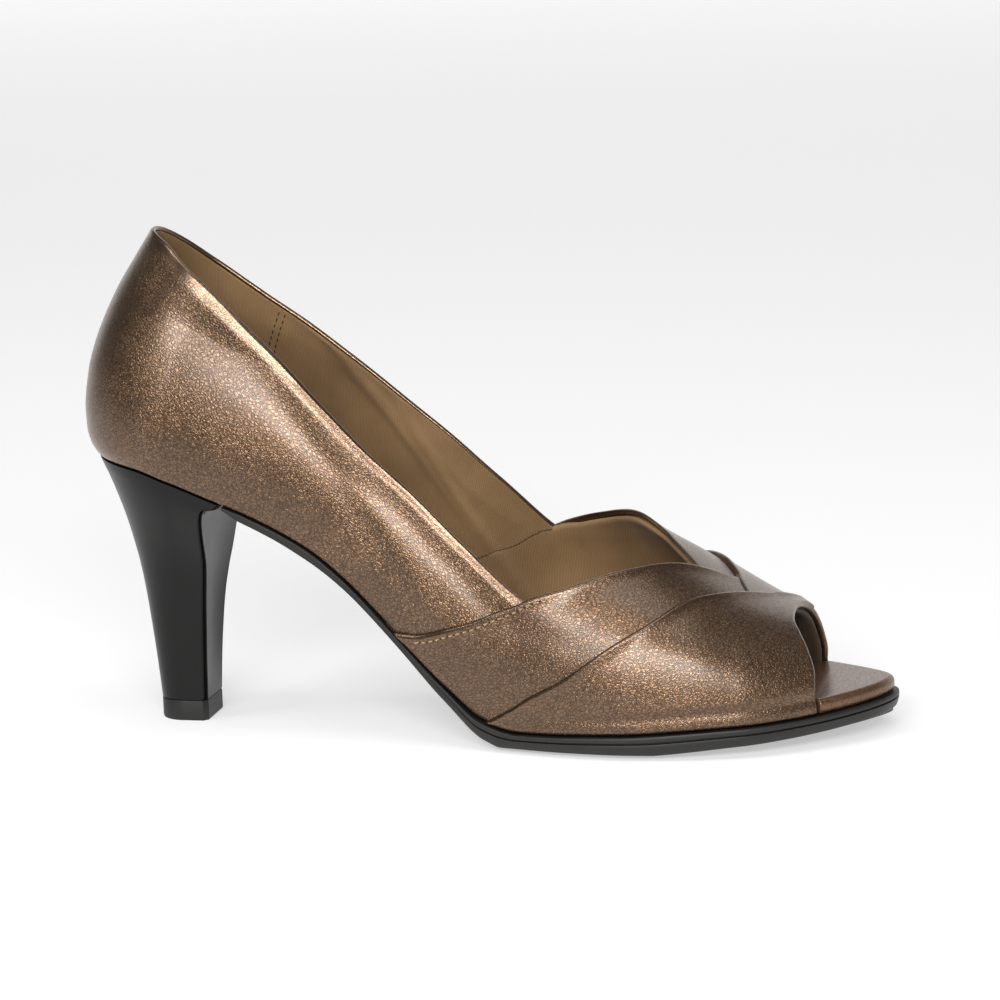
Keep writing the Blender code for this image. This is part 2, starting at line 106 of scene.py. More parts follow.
# Rows of stitches and seams: pitch, ends as places across, and the sizes of one stitch along, out of and beside
# its row. A counter's row has its place along at the top, and how far that moves back towards its foot.
STITCH_INSET = 0.0020
STITCH_PITCH = 0.00225
STITCH_ENDS = (0.968, 0.655)
STITCH_SIZES = (0.00085, 0.00030, 0.00032)
HOLE_SIZES = (0.00040, 0.00022, 0.00034)
SEAM_INSET = 0.0004
SEAM_PITCH = 0.0013
SEAM_ENDS = (0.96, 0.60)
SEAM_SIZES = (0.0010, 0.00030, 0.00042)
COUNTER_PITCH = 0.0021
COUNTER_ENDS = (0.56, 0.72)
COUNTER_SIZES = (0.0007, 0.00012, 0.00020)
COUNTER_PLACES = (0.1975, 0.2065)
COUNTER_SLANT = 0.006

# Bottom of the last. Columns: place, share of the heel's fall, share of the toe spring
BOTTOM = np.array([
    [0.000, 1.005, 0.00],
    [0.070, 0.976, 0.00],
    [0.115, 0.930, 0.00],
    [0.160, 0.878, 0.00],
    [0.222, 0.805, 0.00],
    [0.300, 0.682, 0.00],
    [0.350, 0.560, 0.00],
    [0.418, 0.341, 0.00],
    [0.480, 0.146, 0.00],
    [0.530, 0.022, 0.00],
    [0.575, -0.012, 0.00],
    [0.700, -0.003, 0.08],
    [0.800, 0.000, 0.36],
    [0.900, 0.000, 0.60],
    [1.000, 0.000, 1.00],
])

# Plan of the feather edge. Columns: place, outer and inner half width as shares of the ball width
PLAN = np.array([
    [0.125, 0.334, 0.326],
    [0.200, 0.350, 0.330],
    [0.300, 0.358, 0.310],
    [0.400, 0.366, 0.296],
    [0.480, 0.394, 0.320],
    [0.560, 0.444, 0.388],
    [0.640, 0.492, 0.458],
    [0.700, 0.506, 0.488],
    [0.770, 0.488, 0.494],
    [0.840, 0.436, 0.466],
    [0.900, 0.374, 0.402],
    [1.000, 0.290, 0.260],
])

# Arch over the last. Columns: place, ridge height as a share of the instep, ridge's shift to the inner side
# as a share of the ball width, squareness of the arch
ARCH = np.array([
    [0.000, 1.630, 0.00, 2.0],
    [0.150, 1.610, 0.00, 2.0],
    [0.300, 1.660, 0.02, 2.0],
    [0.420, 1.910, 0.04, 2.1],
    [0.500, 1.925, 0.05, 2.2],
    [0.580, 1.545, 0.06, 2.3],
    [0.640, 1.240, 0.07, 2.3],
    [0.700, 1.042, 0.08, 2.3],
    [0.760, 0.857, 0.08, 2.3],
    [0.820, 0.655, 0.08, 2.4],
    [0.860, 0.540, 0.07, 2.4],
    [0.920, 0.425, 0.06, 2.5],
    [1.000, 0.335, 0.05, 2.5],
])

# Back line. Columns: height as a share of the collar's, lean as a share of the back's
BACK = np.array([
    [0.00, 0.223],
    [0.06, 0.117],
    [0.12, 0.077],
    [0.20, 0.070],
    [0.38, 0.135],
    [0.50, 0.232],
    [0.62, 0.372],
    [0.75, 0.560],
    [0.87, 0.775],
    [1.00, 1.005],
    [1.20, 1.350],
])

# Collar line. Columns: place, outer and inner height above the floor as shares of heel and collar together
COLLAR = np.array([
    [0.000, 1.000, 1.000],
    [0.041, 0.974, 0.962],
    [0.090, 0.928, 0.917],
    [0.171, 0.847, 0.846],
    [0.247, 0.764, 0.781],
    [0.319, 0.668, 0.709],
    [0.386, 0.570, 0.632],
    [0.450, 0.481, 0.554],
    [0.508, 0.393, 0.467],
    [0.573, 0.305, 0.363],
    [0.660, 0.225, 0.260],
])

# Rear edges of the crossed bands, from the feather edge over the ridge. Columns: place across, place along
OUTER_REAR_BAND = np.array([
    [-1.000, 0.413],
    [-0.950, 0.445],
    [-0.880, 0.482],
    [-0.800, 0.523],
    [-0.710, 0.565],
    [-0.620, 0.606],
    [-0.500, 0.653],
    [-0.360, 0.702],
    [-0.205, 0.747],
    [-0.085, 0.785],
    [0.050, 0.826],
    [0.250, 0.858],
    [0.600, 0.876],
])
INNER_REAR_BAND = np.array([
    [1.00, 0.404],
    [0.93, 0.440],
    [0.84, 0.482],
    [0.74, 0.525],
    [0.62, 0.560],
    [0.50, 0.602],
    [0.40, 0.630],
    [0.30, 0.654],
    [0.15, 0.686],
    [0.02, 0.723],
    [-0.12, 0.770],
    [-0.30, 0.810],
    [-0.70, 0.860],
])
INNER_FRONT_BAND = np.array([
    [1.00, 0.520],
    [0.92, 0.566],
    [0.82, 0.615],
    [0.70, 0.662],
    [0.55, 0.708],
    [0.40, 0.741],
    [0.22, 0.775],
    [0.05, 0.802],
    [-0.10, 0.828],
    [-0.25, 0.850],
    [-0.60, 0.890],
])
OUTER_FRONT_BAND = np.array([
    [-1.000, 0.531],
    [-0.920, 0.580],
    [-0.840, 0.629],
    [-0.720, 0.679],
    [-0.550, 0.735],
    [-0.410, 0.766],
    [-0.275, 0.795],
    [-0.165, 0.817],
    [-0.080, 0.834],
    [0.000, 0.850],
    [0.160, 0.870],
    [0.300, 0.879],
])

# Edge of the toe opening. Columns: place across, place along
TOE_OPENING = np.array([
    [-1.00, 0.924],
    [-0.86, 0.922],
    [-0.66, 0.921],
    [-0.43, 0.911],
    [-0.28, 0.900],
    [-0.14, 0.889],
    [0.00, 0.886],
    [0.10, 0.888],
    [0.20, 0.892],
    [0.35, 0.899],
    [0.49, 0.903],
    [0.65, 0.907],
    [0.80, 0.910],
    [1.00, 0.909],
])

# Underside of the sole. Columns: place, thickness as a share of the forefoot's, margin as a share of the full
# margin, share of the groove and crown
UNDERSIDE = np.array([
    [0.170, 0.28, 0.20, 0.0],
    [0.260, 0.35, 0.20, 0.0],
    [0.300, 0.40, 0.22, 0.0],
    [0.345, 0.34, 0.28, 0.0],
    [0.400, 0.31, 0.36, 0.0],
    [0.436, 0.36, 0.45, 0.0],
    [0.466, 0.50, 0.52, 0.1],
    [0.496, 0.71, 0.68, 0.5],
    [0.530, 0.97, 0.90, 1.0],
    [0.600, 1.10, 1.00, 1.0],
    [0.740, 1.10, 1.00, 1.0],
    [0.850, 1.00, 0.96, 1.0],
    [1.000, 0.93, 0.80, 1.0],
])

# Side of the sole, top to bottom. Columns: depth as a share of the thickness, outset in groove depths
SIDE = np.array([
    [0.000, -0.35],
    [0.015, -0.10],
    [0.040, 0.00],
    [0.265, 0.10],
    [0.285, 0.00],
    [0.300, -1.00],
    [0.370, -1.00],
    [0.385, -0.10],
    [0.405, 0.00],
    [0.600, -0.25],
    [0.880, -0.80],
    [0.950, -1.15],
    [0.985, -1.60],
    [1.000, -2.20],
])

# Heel. Columns: share of the rise from tip to seat, then how far the back, the front and the half width have
# gone from the tip's to the seat's
HEEL = np.array([
    [0.00, 0.000, 0.000, 0.000],
    [0.17, 0.077, 0.040, 0.040],
    [0.33, 0.163, 0.095, 0.100],
    [0.45, 0.235, 0.150, 0.170],
    [0.56, 0.318, 0.225, 0.270],
    [0.66, 0.425, 0.300, 0.410],
    [0.77, 0.560, 0.350, 0.620],
    [0.86, 0.710, 0.410, 0.800],
    [0.93, 0.845, 0.520, 0.920],
    [0.97, 0.935, 0.860, 0.970],
    [1.00, 1.000, 1.000, 1.000],
])

# Side of the top piece, bottom to top. Columns: share that the outline is drawn in by, height
TOP_PIECE = np.array([
    [0.030, 0.0],
    [0.008, 0.00025],
    [0.000, 0.0007],
    [0.000, 0.0057],
    [0.015, TOP_PIECE_HEIGHT],
])

# Rounding of the last's ends, reach of the back's lean and of the counter's bulge, and the feather's turn
HEEL_ROUND = 0.125
HEEL_SQUARE = 2.15
TOE_ROUND = 0.165
TOE_SQUARE = 1.85
LEAN_REACH = 0.50
BULGE_REACH = 0.68
FEATHER_TURN = 0.008

# Front ends of the quarters' foot and rim, outer and inner, and the place at which the rim's swell is full
QUARTER_FOOT = (0.433, 0.438)
QUARTER_RIM = (0.612, 0.606)
SWELL_START = 0.12

# Places across where the vamp lining leaves the throat's edge, outer and inner, and the front end of the sock
LAP_START = (0.62, 0.50)
LAP_BLEND = 0.08
LAP_SPREAD = 0.20
SOCK_END = 0.80
SOCK_TURN = 0.03

# Soft troughs and ridges of the worn-in leather. Columns: place along, place across, heading in degrees up
# from the shoe's length, half length, half width, height in metres (a trough is negative)
LEATHER_FOLDS = np.array([
    [0.385, -0.830, -33, 0.030, 0.0055, -0.00045],
    [0.330, -0.700, -36, 0.040, 0.0060, 0.00035],
    [0.090, -0.780, 62, 0.020, 0.0070, -0.00030],
    [0.600, -0.740, 12, 0.016, 0.0050, -0.00035],
    [0.680, -0.560, 14, 0.018, 0.0050, 0.00030],
    [0.760, -0.640, 4, 0.024, 0.0060, 0.00035],
    [0.830, -0.420, 40, 0.012, 0.0045, -0.00030],
    [0.385, 0.830, -33, 0.030, 0.0055, -0.00045],
    [0.330, 0.700, -36, 0.040, 0.0060, 0.00035],
    [0.600, 0.740, 12, 0.016, 0.0050, -0.00035],
    [0.700, 0.640, 8, 0.022, 0.0055, 0.00035],
])
LINING_FOLDS = np.array([
    [0.330, 0.640, -30, 0.034, 0.0024, 0.00090],
    [0.450, 0.730, -34, 0.020, 0.0026, 0.00070],
    [0.300, -0.640, -30, 0.030, 0.0026, 0.00040],
    [0.560, 0.450, 16, 0.016, 0.0028, 0.00030],
])

# Trough that runs along the vamp just above the sole: rise, half width, depth, and the places where it fades
SOLE_TROUGH = (0.0046, 0.0015, 0.00055)
TROUGH_ENDS = (0.50, 0.64)

# Fineness of the surfaces
QUARTER_COLUMNS = 170
QUARTER_ROWS = 84
BAND_COLUMNS = 190
BAND_ROWS = 64
LINING_COLUMNS = 240
LINING_ROWS = 70
FOLD_TURNS = 9
SAMPLES = 600
NEAR = 2e-4
MERGE = 1e-6

# View of the photograph: angles in degrees, distance, focal length in pixels and the point that it looks at
AZIMUTH = 13.0
ELEVATION = 11.5
ROLL = 2.0
DISTANCE = 1.150
FOCAL_PIXELS = 3973
FRAME_PIXELS = 1000
SENSOR = 36.0
LOOKS_AT = np.array([0.12440, 0.0, 0.06595])

# Studio. The paper is flat as far as the bend behind. Its glow grows with the distance behind the shoe, and
# falls off between two distances in front of it
PAPER_HALF = 9.0
BEND_START = 4.0
BEND_RADIUS = 1.0
PAPER_TOP = 4.0
FALL_OFF = (-0.42, -0.29)
GLOW_REACH = 3.0
GLOW = (0.42, 0.68)
LEAST_GLOW = 0.05
AIR_GLOW = 0.12

# Softboxes. Columns: name, place, point faced, width, height, power in watts
SOFTBOXES = (
    ("key_softbox", (0.20, -1.55, 0.80), (0.0, 0.0, 0.07), 1.30, 0.42, 29.0),
    ("top_softbox", (0.00, -0.30, 1.60), (0.0, 0.0, 0.05), 1.40, 0.80, 9.0),
    ("edge_softbox", (-0.75, -0.55, 1.15), (0.0, 0.0, 0.05), 0.35, 0.35, 2.5),
)


def smooth(table, places, column):
    """Reads a column of a table between its rows: a cubic through the rows that never swings past them."""
    order = np.argsort(table[:, 0])
    xs = table[order, 0]
    ys = table[order, column]
    steps = np.diff(xs)
    slopes = np.diff(ys) / steps
    tangents = np.concatenate([slopes[:1], np.zeros(len(xs) - 2), slopes[-1:]])
    level = slopes[:-1] * slopes[1:] > 0
    blend = 2 * slopes[:-1] * slopes[1:] / np.where(level, slopes[:-1] + slopes[1:], 1)
    tangents[1:-1] = np.where(level, blend, 0)
    places = np.clip(places, xs[0], xs[-1])
    row = np.clip(np.searchsorted(xs, places, side="right") - 1, 0, len(xs) - 2)
    u = (places - xs[row]) / steps[row]
    start = (1 + 2 * u) * ys[row] + u * steps[row] * tangents[row]
    end = (3 - 2 * u) * ys[row + 1] - (1 - u) * steps[row] * tangents[row + 1]
    return (1 - u) ** 2 * start + u ** 2 * end


def bottom_height(along):
    """Height of the last's bottom above the floor: the sole, the fall from the heel and the toe spring."""
    fall = (HEEL_HEIGHT - SOLE_THICKNESS) * smooth(BOTTOM, along, 1)
    return SOLE_THICKNESS + fall + TOE_SPRING * smooth(BOTTOM, along, 2)


def ridge_height(along):
    """Height of the arch's ridge above the last's bottom."""
    return INSTEP_HEIGHT * smooth(ARCH, along, 1)


def end_round(along):
    """Share of the half width that the rounding of heel and toe leaves: quarters of superellipses."""
    heel = np.clip(1 - along / HEEL_ROUND, 0, 1)
    toe = np.clip((along - 1 + TOE_ROUND) / TOE_ROUND, 0, 1)
    back = (1 - heel ** HEEL_SQUARE) ** (1 / HEEL_SQUARE)
    return back * (1 - toe ** TOE_SQUARE) ** (1 / TOE_SQUARE)


def last_point(along, across):
    """Point on the last: a superelliptic arch that leans with the back and closes at both ends."""
    along, across = np.broadcast_arrays(np.asarray(along, float), np.asarray(across, float))
    side = np.where(across < 0, -1.0, 1.0)
    angle = (1 - np.abs(across)) * np.pi / 2
    flat = np.maximum(np.cos(angle), 0)
    half = BALL_WIDTH * np.where(side < 0, smooth(PLAN, along, 1), smooth(PLAN, along, 2))
    shift = BALL_WIDTH * smooth(ARCH, along, 2)
    rise = ridge_height(along) * np.sin(angle)
    arm = (half - side * shift) * flat ** (2 / smooth(ARCH, along, 3))
    swell = np.sin(np.pi * np.clip(rise / (BULGE_REACH * COLLAR_HEIGHT), 0, 1))
    puff = COUNTER_BULGE * swell * np.clip(3 * flat, 0, 1)
    centre = TOE_SHIFT * np.clip(2 * along - 1, 0, 1) ** 2
    y = centre + (shift + side * (arm + puff) - centre) * end_round(along)
    fade = np.clip(1 - along / LEAN_REACH, 0, 1)
    lean = BACK_LEAN * smooth(BACK, rise / COLLAR_HEIGHT, 1) * fade ** 2 * (3 - 2 * fade)
    return np.stack([LAST_LENGTH * along + lean, y, bottom_height(along) + rise], -1)


def outward(along, across):
    """Unit direction out of the last, from differences along and across it, turned level at the feather edge."""
    back = last_point(np.clip(along - NEAR, MERGE, 1), across)
    front = last_point(np.clip(along + NEAR, MERGE, 1), across)
    outer = last_point(along, np.clip(across - NEAR, -1, 1))
    inner = last_point(along, np.clip(across + NEAR, -1, 1))
    normal = np.cross(inner - outer, back - front)
    normal /= np.maximum(np.linalg.norm(normal, axis=-1, keepdims=True), np.finfo(float).tiny)
    rise = last_point(along, across)[..., 2] - bottom_height(along)
    normal[..., 2] *= np.clip(rise / FEATHER_TURN, 0, 1)
    return normal


def wall_point(along, across, out):
    """Point of the upper: the last moved outward, standing a gap above the sole."""
    along, across = np.broadcast_arrays(np.asarray(along, float), np.asarray(across, float))
    out = np.broadcast_to(np.asarray(out, float), along.shape)
    point = last_point(along, across) + outward(along, across) * out[..., None]
    point[..., 2] += GAP
    return point


def rise_of(along, across):
    """Height of a place above the last's bottom: the ridge's height times the sine of the arch's angle."""
    return ridge_height(along) * np.sin((1 - np.abs(across)) * np.pi / 2)


def rise_across(along, side, rise):
    """Place across at which the wall has risen so far above the last's bottom, on the side of that sign."""
    share = np.clip(rise / ridge_height(along), 0, 1)
    return side * (1 - np.arcsin(share) * 2 / np.pi)


def collar_rise(along, side):
    """Rise of the collar line above the last's bottom."""
    height = (HEEL_HEIGHT + COLLAR_HEIGHT) * smooth(COLLAR, along, 1 if side < 0 else 2)
    return height - bottom_height(along)


def place_at(x):
    """Place along the feather edge of the rear half at a distance from the last's back."""
    places = np.linspace(0, 0.5, SAMPLES)
    return np.interp(x, last_point(places, -1.0)[:, 0], places)


def plan_edges(margins, places):
    """Outer and inner edge at each place: the feather edge moved out in plan by a margin for each side."""
    edges = []
    for side, margin in zip((-1.0, 1.0), margins):
        edge = last_point(places, side)
        before = last_point(np.clip(places - NEAR, 0, 1), side)
        after = last_point(np.clip(places + NEAR, 0, 1), side)
        run = (after - before)[:, :2]
        run /= np.linalg.norm(run, axis=1, keepdims=True)
        out = np.stack([-side * run[:, 1], side * run[:, 0]], -1)
        out[places >= 1] = (1.0, 0.0)
        edge[:, :2] += out * np.broadcast_to(margin, places.shape)[:, None]
        edges.append(edge)
    return edges


def placing():
    """Shift from the last's back to the middle of the shoe's box, which runs from the counter to the sole."""
    places = np.linspace(0.5, 1, SAMPLES)
    margin = SOLE_MARGIN * smooth(UNDERSIDE, places, 2)
    outer, inner = plan_edges((margin, margin), places)
    rear = BACK_LEAN * BACK[:, 1].min()
    return np.array([-(rear + outer[-1, 0]) / 2, -(outer[:, 1].min() + inner[:, 1].max()) / 2, 0.0])


PLACING = placing()


def folds(table, along, across):
    """Sum of long soft bumps: each is a Gaussian in lengths along and across its own heading on the wall."""
    girth = ridge_height(along) + BALL_WIDTH / 2
    total = np.zeros(np.broadcast(along, across).shape)
    for place, beside, heading, length, width, height in table:
        ahead = (along - place) * LAST_LENGTH
        up = (np.abs(beside) - np.abs(across)) * girth
        turn = np.radians(heading)
        u = ahead * np.cos(turn) + up * np.sin(turn)
        v = up * np.cos(turn) - ahead * np.sin(turn)
        here = np.where(across * beside > 0, height, 0)
        total = total + here * np.exp(-(u / length) ** 2 - (v / width) ** 2)
    return total


def leather_relief(along, across):
    """Outward relief of the leather: its folds, the trough above the sole, and the foot rolled in under it."""
    rise = rise_of(along, across)
    middle, width, depth = SOLE_TROUGH
    start, full = TROUGH_ENDS
    fade = np.clip((along - start) / (full - start), 0, 1)
    trough = depth * fade * np.exp(-((rise - middle) / width) ** 2)
    under = np.clip(1 - rise / FOOT_ROUND, 0, 1)
    roll = FOOT_ROUND * (1 - np.sqrt(np.maximum(1 - under ** 2, 0)))
    return folds(LEATHER_FOLDS, along, across) - trough - roll


def linear(code):
    """Linear colour of an sRGB hex code."""
    values = np.array([int(code[i:i + 2], 16) for i in (1, 3, 5)]) / 255
    curve = np.where(values <= 0.04045, values / 12.92, ((values + 0.055) / 1.055) ** 2.4)
    return (*curve.tolist(), 1.0)


def set_inputs(tree, target, inputs):
    """Sets a node's inputs. A value is a number, a colour, a node's output, or a node for its first output."""
    for key, value in inputs.items():
        if isinstance(value, bpy.types.Node):
            value = value.outputs[0]
        if isinstance(value, bpy.types.NodeSocket):
            tree.links.new(value, target.inputs[key])
        else:
            target.inputs[key].default_value = value


def add_node(tree, kind, settings=None, inputs=None):
    """Adds a shader node of a kind, with its settings and inputs."""
    made = tree.nodes.new("ShaderNode" + kind)
    for key, value in (settings or {}).items():
        setattr(made, key, value)
    set_inputs(tree, made, inputs or {})
    return made


def new_material(name, **uniform):
    """A material with its Principled shader, whose uniform values are set straight on their sockets."""
    material = bpy.data.materials.new(name)
    material.use_nodes = True
    tree = material.node_tree
    shader = tree.nodes["Principled BSDF"]
    set_inputs(tree, shader, {key.replace("_", " "): value for key, value in uniform.items()})
    return material, tree, shader


def grained_leather(name, crease_shade, ridge, grain, slope, rough, strength, **uniform):
    """Foiled cowhide with long pebbles: grain is a pebble's width in metres, slope its heading in degrees.

    The height is a Voronoi edge distance over noise-bent coordinates, stretched along the heading in the
    shoe's side view, with a finer one on top of it. Creases are painted darker, as shade, and pebble tops are
    smoother. Where the attribute fold says that the leather is pulled over an edge, the grain is nearly flat.
    """
    material, tree, shader = new_material(name, **uniform)
    place = add_node(tree, "TexCoord").outputs["Object"]
    turned = add_node(tree, "Mapping", None, {"Vector": place, "Rotation": (0, np.radians(slope), 0)})
    long = add_node(tree, "Mapping", None, {"Vector": turned, "Scale": (0.58, 1, 1)})
    bend = add_node(tree, "TexNoise", None, {"Vector": place, "Scale": 0.50 / grain, "Detail": 2.0})
    pull = add_node(tree, "VectorMath", {"operation": "SCALE"},
                    {0: bend.outputs["Color"], "Scale": grain * 1.3})
    bent = add_node(tree, "VectorMath", {"operation": "ADD"}, {0: long, 1: pull})
    coarse = add_node(tree, "TexVoronoi", {"feature": "DISTANCE_TO_EDGE"},
                      {"Vector": bent, "Scale": 1 / grain})
    fine = add_node(tree, "TexVoronoi", {"feature": "DISTANCE_TO_EDGE"},
                    {"Vector": bent, "Scale": 1.9 / grain})
    tops = add_node(tree, "MapRange", {"interpolation_type": "SMOOTHSTEP"},
                    {"Value": coarse.outputs["Distance"], "From Max": 0.30})
    small = add_node(tree, "MapRange", {"interpolation_type": "SMOOTHSTEP"},
                     {"Value": fine.outputs["Distance"], "From Max": 0.28})
    skin = add_node(tree, "TexNoise", None,
                    {"Vector": place, "Scale": 3.2 / grain, "Detail": 3.0, "Roughness": 0.6})
    pebbles = add_node(tree, "Math", {"operation": "MULTIPLY_ADD"},
                       {0: small, 1: 0.45, 2: tops})
    height = add_node(tree, "Math", {"operation": "MULTIPLY_ADD"},
                      {0: skin, 1: 0.55, 2: pebbles})
    broad = add_node(tree, "TexNoise", None, {"Vector": place, "Scale": 45.0, "Detail": 3.0})
    lively = add_node(tree, "MapRange", None,
                      {"Value": broad, "From Min": 0.35, "From Max": 0.65, "To Min": 0.6 * strength,
                       "To Max": strength})
    fold = add_node(tree, "Attribute", {"attribute_name": "fold"}).outputs["Fac"]
    pulled = add_node(tree, "MapRange", None, {"Value": fold, "To Min": 1.0, "To Max": 0.12})
    relief = add_node(tree, "Math", {"operation": "MULTIPLY"},
                      {0: lively, 1: pulled})
    bump = add_node(tree, "Bump", None,
                    {"Strength": relief, "Distance": 0.00006, "Height": height})
    # Painted shade: the low creases of the height get the darker crease colour.
    tint = add_node(tree, "MapRange", None,
                    {"Value": height, "From Min": 0.20, "From Max": 1.15})
    colour = add_node(tree, "Mix", {"data_type": "RGBA"},
                      {0: tint, 6: linear(crease_shade), 7: linear(ridge)})
    patch = add_node(tree, "MapRange", None,
                     {"Value": broad, "From Min": 0.3, "From Max": 0.7, "To Min": 0.90, "To Max": 1.10})
    shade = add_node(tree, "VectorMath", {"operation": "SCALE"},
                     {0: colour.outputs[2], "Scale": patch})
    worn = add_node(tree, "MapRange", None,
                    {"Value": height, "From Min": 0.3, "From Max": 1.5, "To Min": rough[1],
                     "To Max": rough[0]})
    smoothed = add_node(tree, "Math", {"operation": "MULTIPLY_ADD"},
                        {0: fold, 1: -0.08, 2: worn})
    set_inputs(tree, shader, {"Base Color": shade, "Roughness": smoothed, "Normal": bump})
    return material


def bronze_milled_cowhide(name, slope):
    """Cowhide tumbled soft in a drum, then covered with a bronze foil and a clear finish."""
    # The eye sees a metal's sheen broken up by long pebbles, over which the clear finish lays cream highlights.
    # The real pebbles are about 0.6 mm wide: they are drawn at 0.8 mm, so that they show.
    return grained_leather(name, "#422E1C", "#7A5F48", 0.00080, slope, (0.27, 0.37), 1.0, Metallic=0.88,
                           Specular_IOR_Level=0.5, Coat_Weight=0.65, Coat_Roughness=0.30)


def bronze_smooth_cowhide():
    """The insole's cover: the same hide, glued down on a board and pressed smooth."""
    # The eye sees a browner, calmer leather with a soft even sheen and hardly any grain.
    return grained_leather("bronze_smooth_cowhide", "#553925", "#7C5E48", 0.00080, 0, (0.30, 0.40), 0.30,
                           Metallic=0.60, Specular_IOR_Level=0.5, Coat_Weight=0.35, Coat_Roughness=0.22)


def tan_coated_twill():
    """Woven twill with a thin coating: ribs are bands of a sine at 35 degrees over the lining's own lengths."""
    # The eye sees fine slanted ribs, matt and a little lighter on their tops, and a painted shade that darkens
    # the lining towards the toe, where little light gets in.
    # The real ribs are about 0.3 mm apart: they are drawn at 0.5 mm, so that they show.
    pitch = 0.00050
    material, tree, shader = new_material("tan_coated_twill", Roughness=0.72, Sheen_Weight=0.12,
                                          Sheen_Roughness=0.45)
    flat = add_node(tree, "UVMap", {"uv_map": "lengths"})
    turned = add_node(tree, "Mapping", None, {"Vector": flat, "Rotation": (0, 0, np.radians(35))})
    ribs = add_node(tree, "TexWave", {"wave_type": "BANDS", "bands_direction": "X"},
                    {"Vector": turned, "Scale": 0.314 / pitch, "Distortion": 1.6, "Detail": 2.0,
                     "Detail Scale": 1.5})
    place = add_node(tree, "TexCoord").outputs["Object"]
    slub = add_node(tree, "TexNoise", None, {"Vector": place, "Scale": 0.8 / pitch, "Detail": 3.0})
    height = add_node(tree, "Math", {"operation": "MULTIPLY_ADD"},
                      {0: slub, 1: 0.9, 2: ribs.outputs["Fac"]})
    bump = add_node(tree, "Bump", None,
                    {"Strength": 0.55, "Distance": 0.00012, "Height": height})
    broad = add_node(tree, "TexNoise", None, {"Vector": place, "Scale": 38.0, "Detail": 3.0})
    mixed = add_node(tree, "Math", {"operation": "MULTIPLY_ADD"},
                     {0: ribs.outputs["Fac"], 1: 0.14, 2: broad})
    tint = add_node(tree, "MapRange", None,
                    {"Value": mixed, "From Min": 0.35, "From Max": 0.85})
    colour = add_node(tree, "Mix", {"data_type": "RGBA"},
                      {0: tint, 6: linear("#6E5434"), 7: linear("#967650")})
    # Painted shade: the lining's colour is darkened towards the toe, where little light reaches inside the shoe.
    ahead = add_node(tree, "SeparateXYZ", None, {0: place}).outputs["X"]
    painted_toe_shade = add_node(tree, "MapRange", {"interpolation_type": "SMOOTHSTEP"},
                       {"Value": ahead, "From Min": 0.050, "From Max": 0.076, "To Min": 1.0, "To Max": 0.22})
    shade = add_node(tree, "VectorMath", {"operation": "SCALE"},
                     {0: colour.outputs[2], "Scale": painted_toe_shade})
    set_inputs(tree, shader, {"Base Color": shade, "Normal": bump})
    return material


def moulded(name, low, high, speck, depth, rough, **uniform):
    """A moulded surface: an even colour with the mould's fine specks, and roughness varied by handling."""
    material, tree, shader = new_material(name, **uniform)
    place = add_node(tree, "TexCoord").outputs["Object"]
    fine = add_node(tree, "TexNoise", None, {"Vector": place, "Scale": 1 / speck, "Detail": 4.0})
    broad = add_node(tree, "TexNoise", None, {"Vector": place, "Scale": 60.0, "Detail": 4.0})
    colour = add_node(tree, "Mix", {"data_type": "RGBA"},
                      {0: broad, 6: linear(low), 7: linear(high)})
    worn = add_node(tree, "MapRange", None,
                    {"Value": broad, "From Min": 0.3, "From Max": 0.7, "To Min": rough[0],
                     "To Max": rough[1]})
    bump = add_node(tree, "Bump", None,
                    {"Strength": 0.5, "Distance": depth, "Height": fine})
    set_inputs(tree, shader, {"Base Color": colour.outputs[2], "Roughness": worn, "Normal": bump})
    return material


def black_sole_rubber():
    """Compression-moulded rubber of the sole."""
    # The eye sees a matt black with a grey bloom where it faces the light.
    return moulded("black_moulded_sole_rubber", "#141312", "#1F1D1B", 0.0004, 0.00005, (0.42, 0.56))


def black_satin_abs():
    """Injection-moulded ABS of the heel, from a polished mould."""
    # The eye sees a near-black satin with long soft reflections.
    return moulded("black_satin_moulded_abs", "#0B0A0A", "#110F0E", 0.0006, 0.00001, (0.30, 0.36),
                   Specular_IOR_Level=0.28)


def black_wearing_rubber():
    """Hard rubber of the top piece, cut and scoured."""
    # The eye sees a duller black than the heel's.
    return moulded("black_top_piece_rubber", "#141312", "#1D1B1A", 0.0004, 0.00005, (0.46, 0.60))


def needle_hole_shadow():
    """The dark inside of a needle's hole."""
    # The eye sees only a deep brown speck between two stitches.
    return moulded("needle_hole_shadow", "#24160C", "#301E12", 0.0006, 0.00001, (0.8, 0.9))


def twisted_thread(name, low, high, **uniform):
    """Waxed polyester thread of two plies wound round each other, as slanted bands of a sine."""
    # The eye sees slanted light and dark bands. A ply is drawn 0.4 mm wide, wider than it is, so that it shows.
    material, tree, shader = new_material(name, **uniform)
    place = add_node(tree, "TexCoord").outputs["Object"]
    twist = add_node(tree, "TexWave", {"wave_type": "BANDS", "bands_direction": "DIAGONAL"},
                     {"Vector": place, "Scale": 900.0}).outputs["Fac"]
    colour = add_node(tree, "Mix", {"data_type": "RGBA"}, {0: twist, 6: linear(low), 7: linear(high)})
    bump = add_node(tree, "Bump", None, {"Strength": 0.5, "Distance": 0.0001, "Height": twist})
    set_inputs(tree, shader, {"Base Color": colour.outputs[2], "Normal": bump})
    return material


def bronze_waxed_thread():
    """Thread of the bands' rows, dyed to go with the bronze."""
    return twisted_thread("bronze_waxed_thread", "#7A5A3C", "#C4A680", Roughness=0.45, Metallic=0.2)


def tan_waxed_thread():
    """Thread of the lining's corded seam."""
    return twisted_thread("tan_waxed_thread", "#4A3820", "#7C6040", Roughness=0.6)


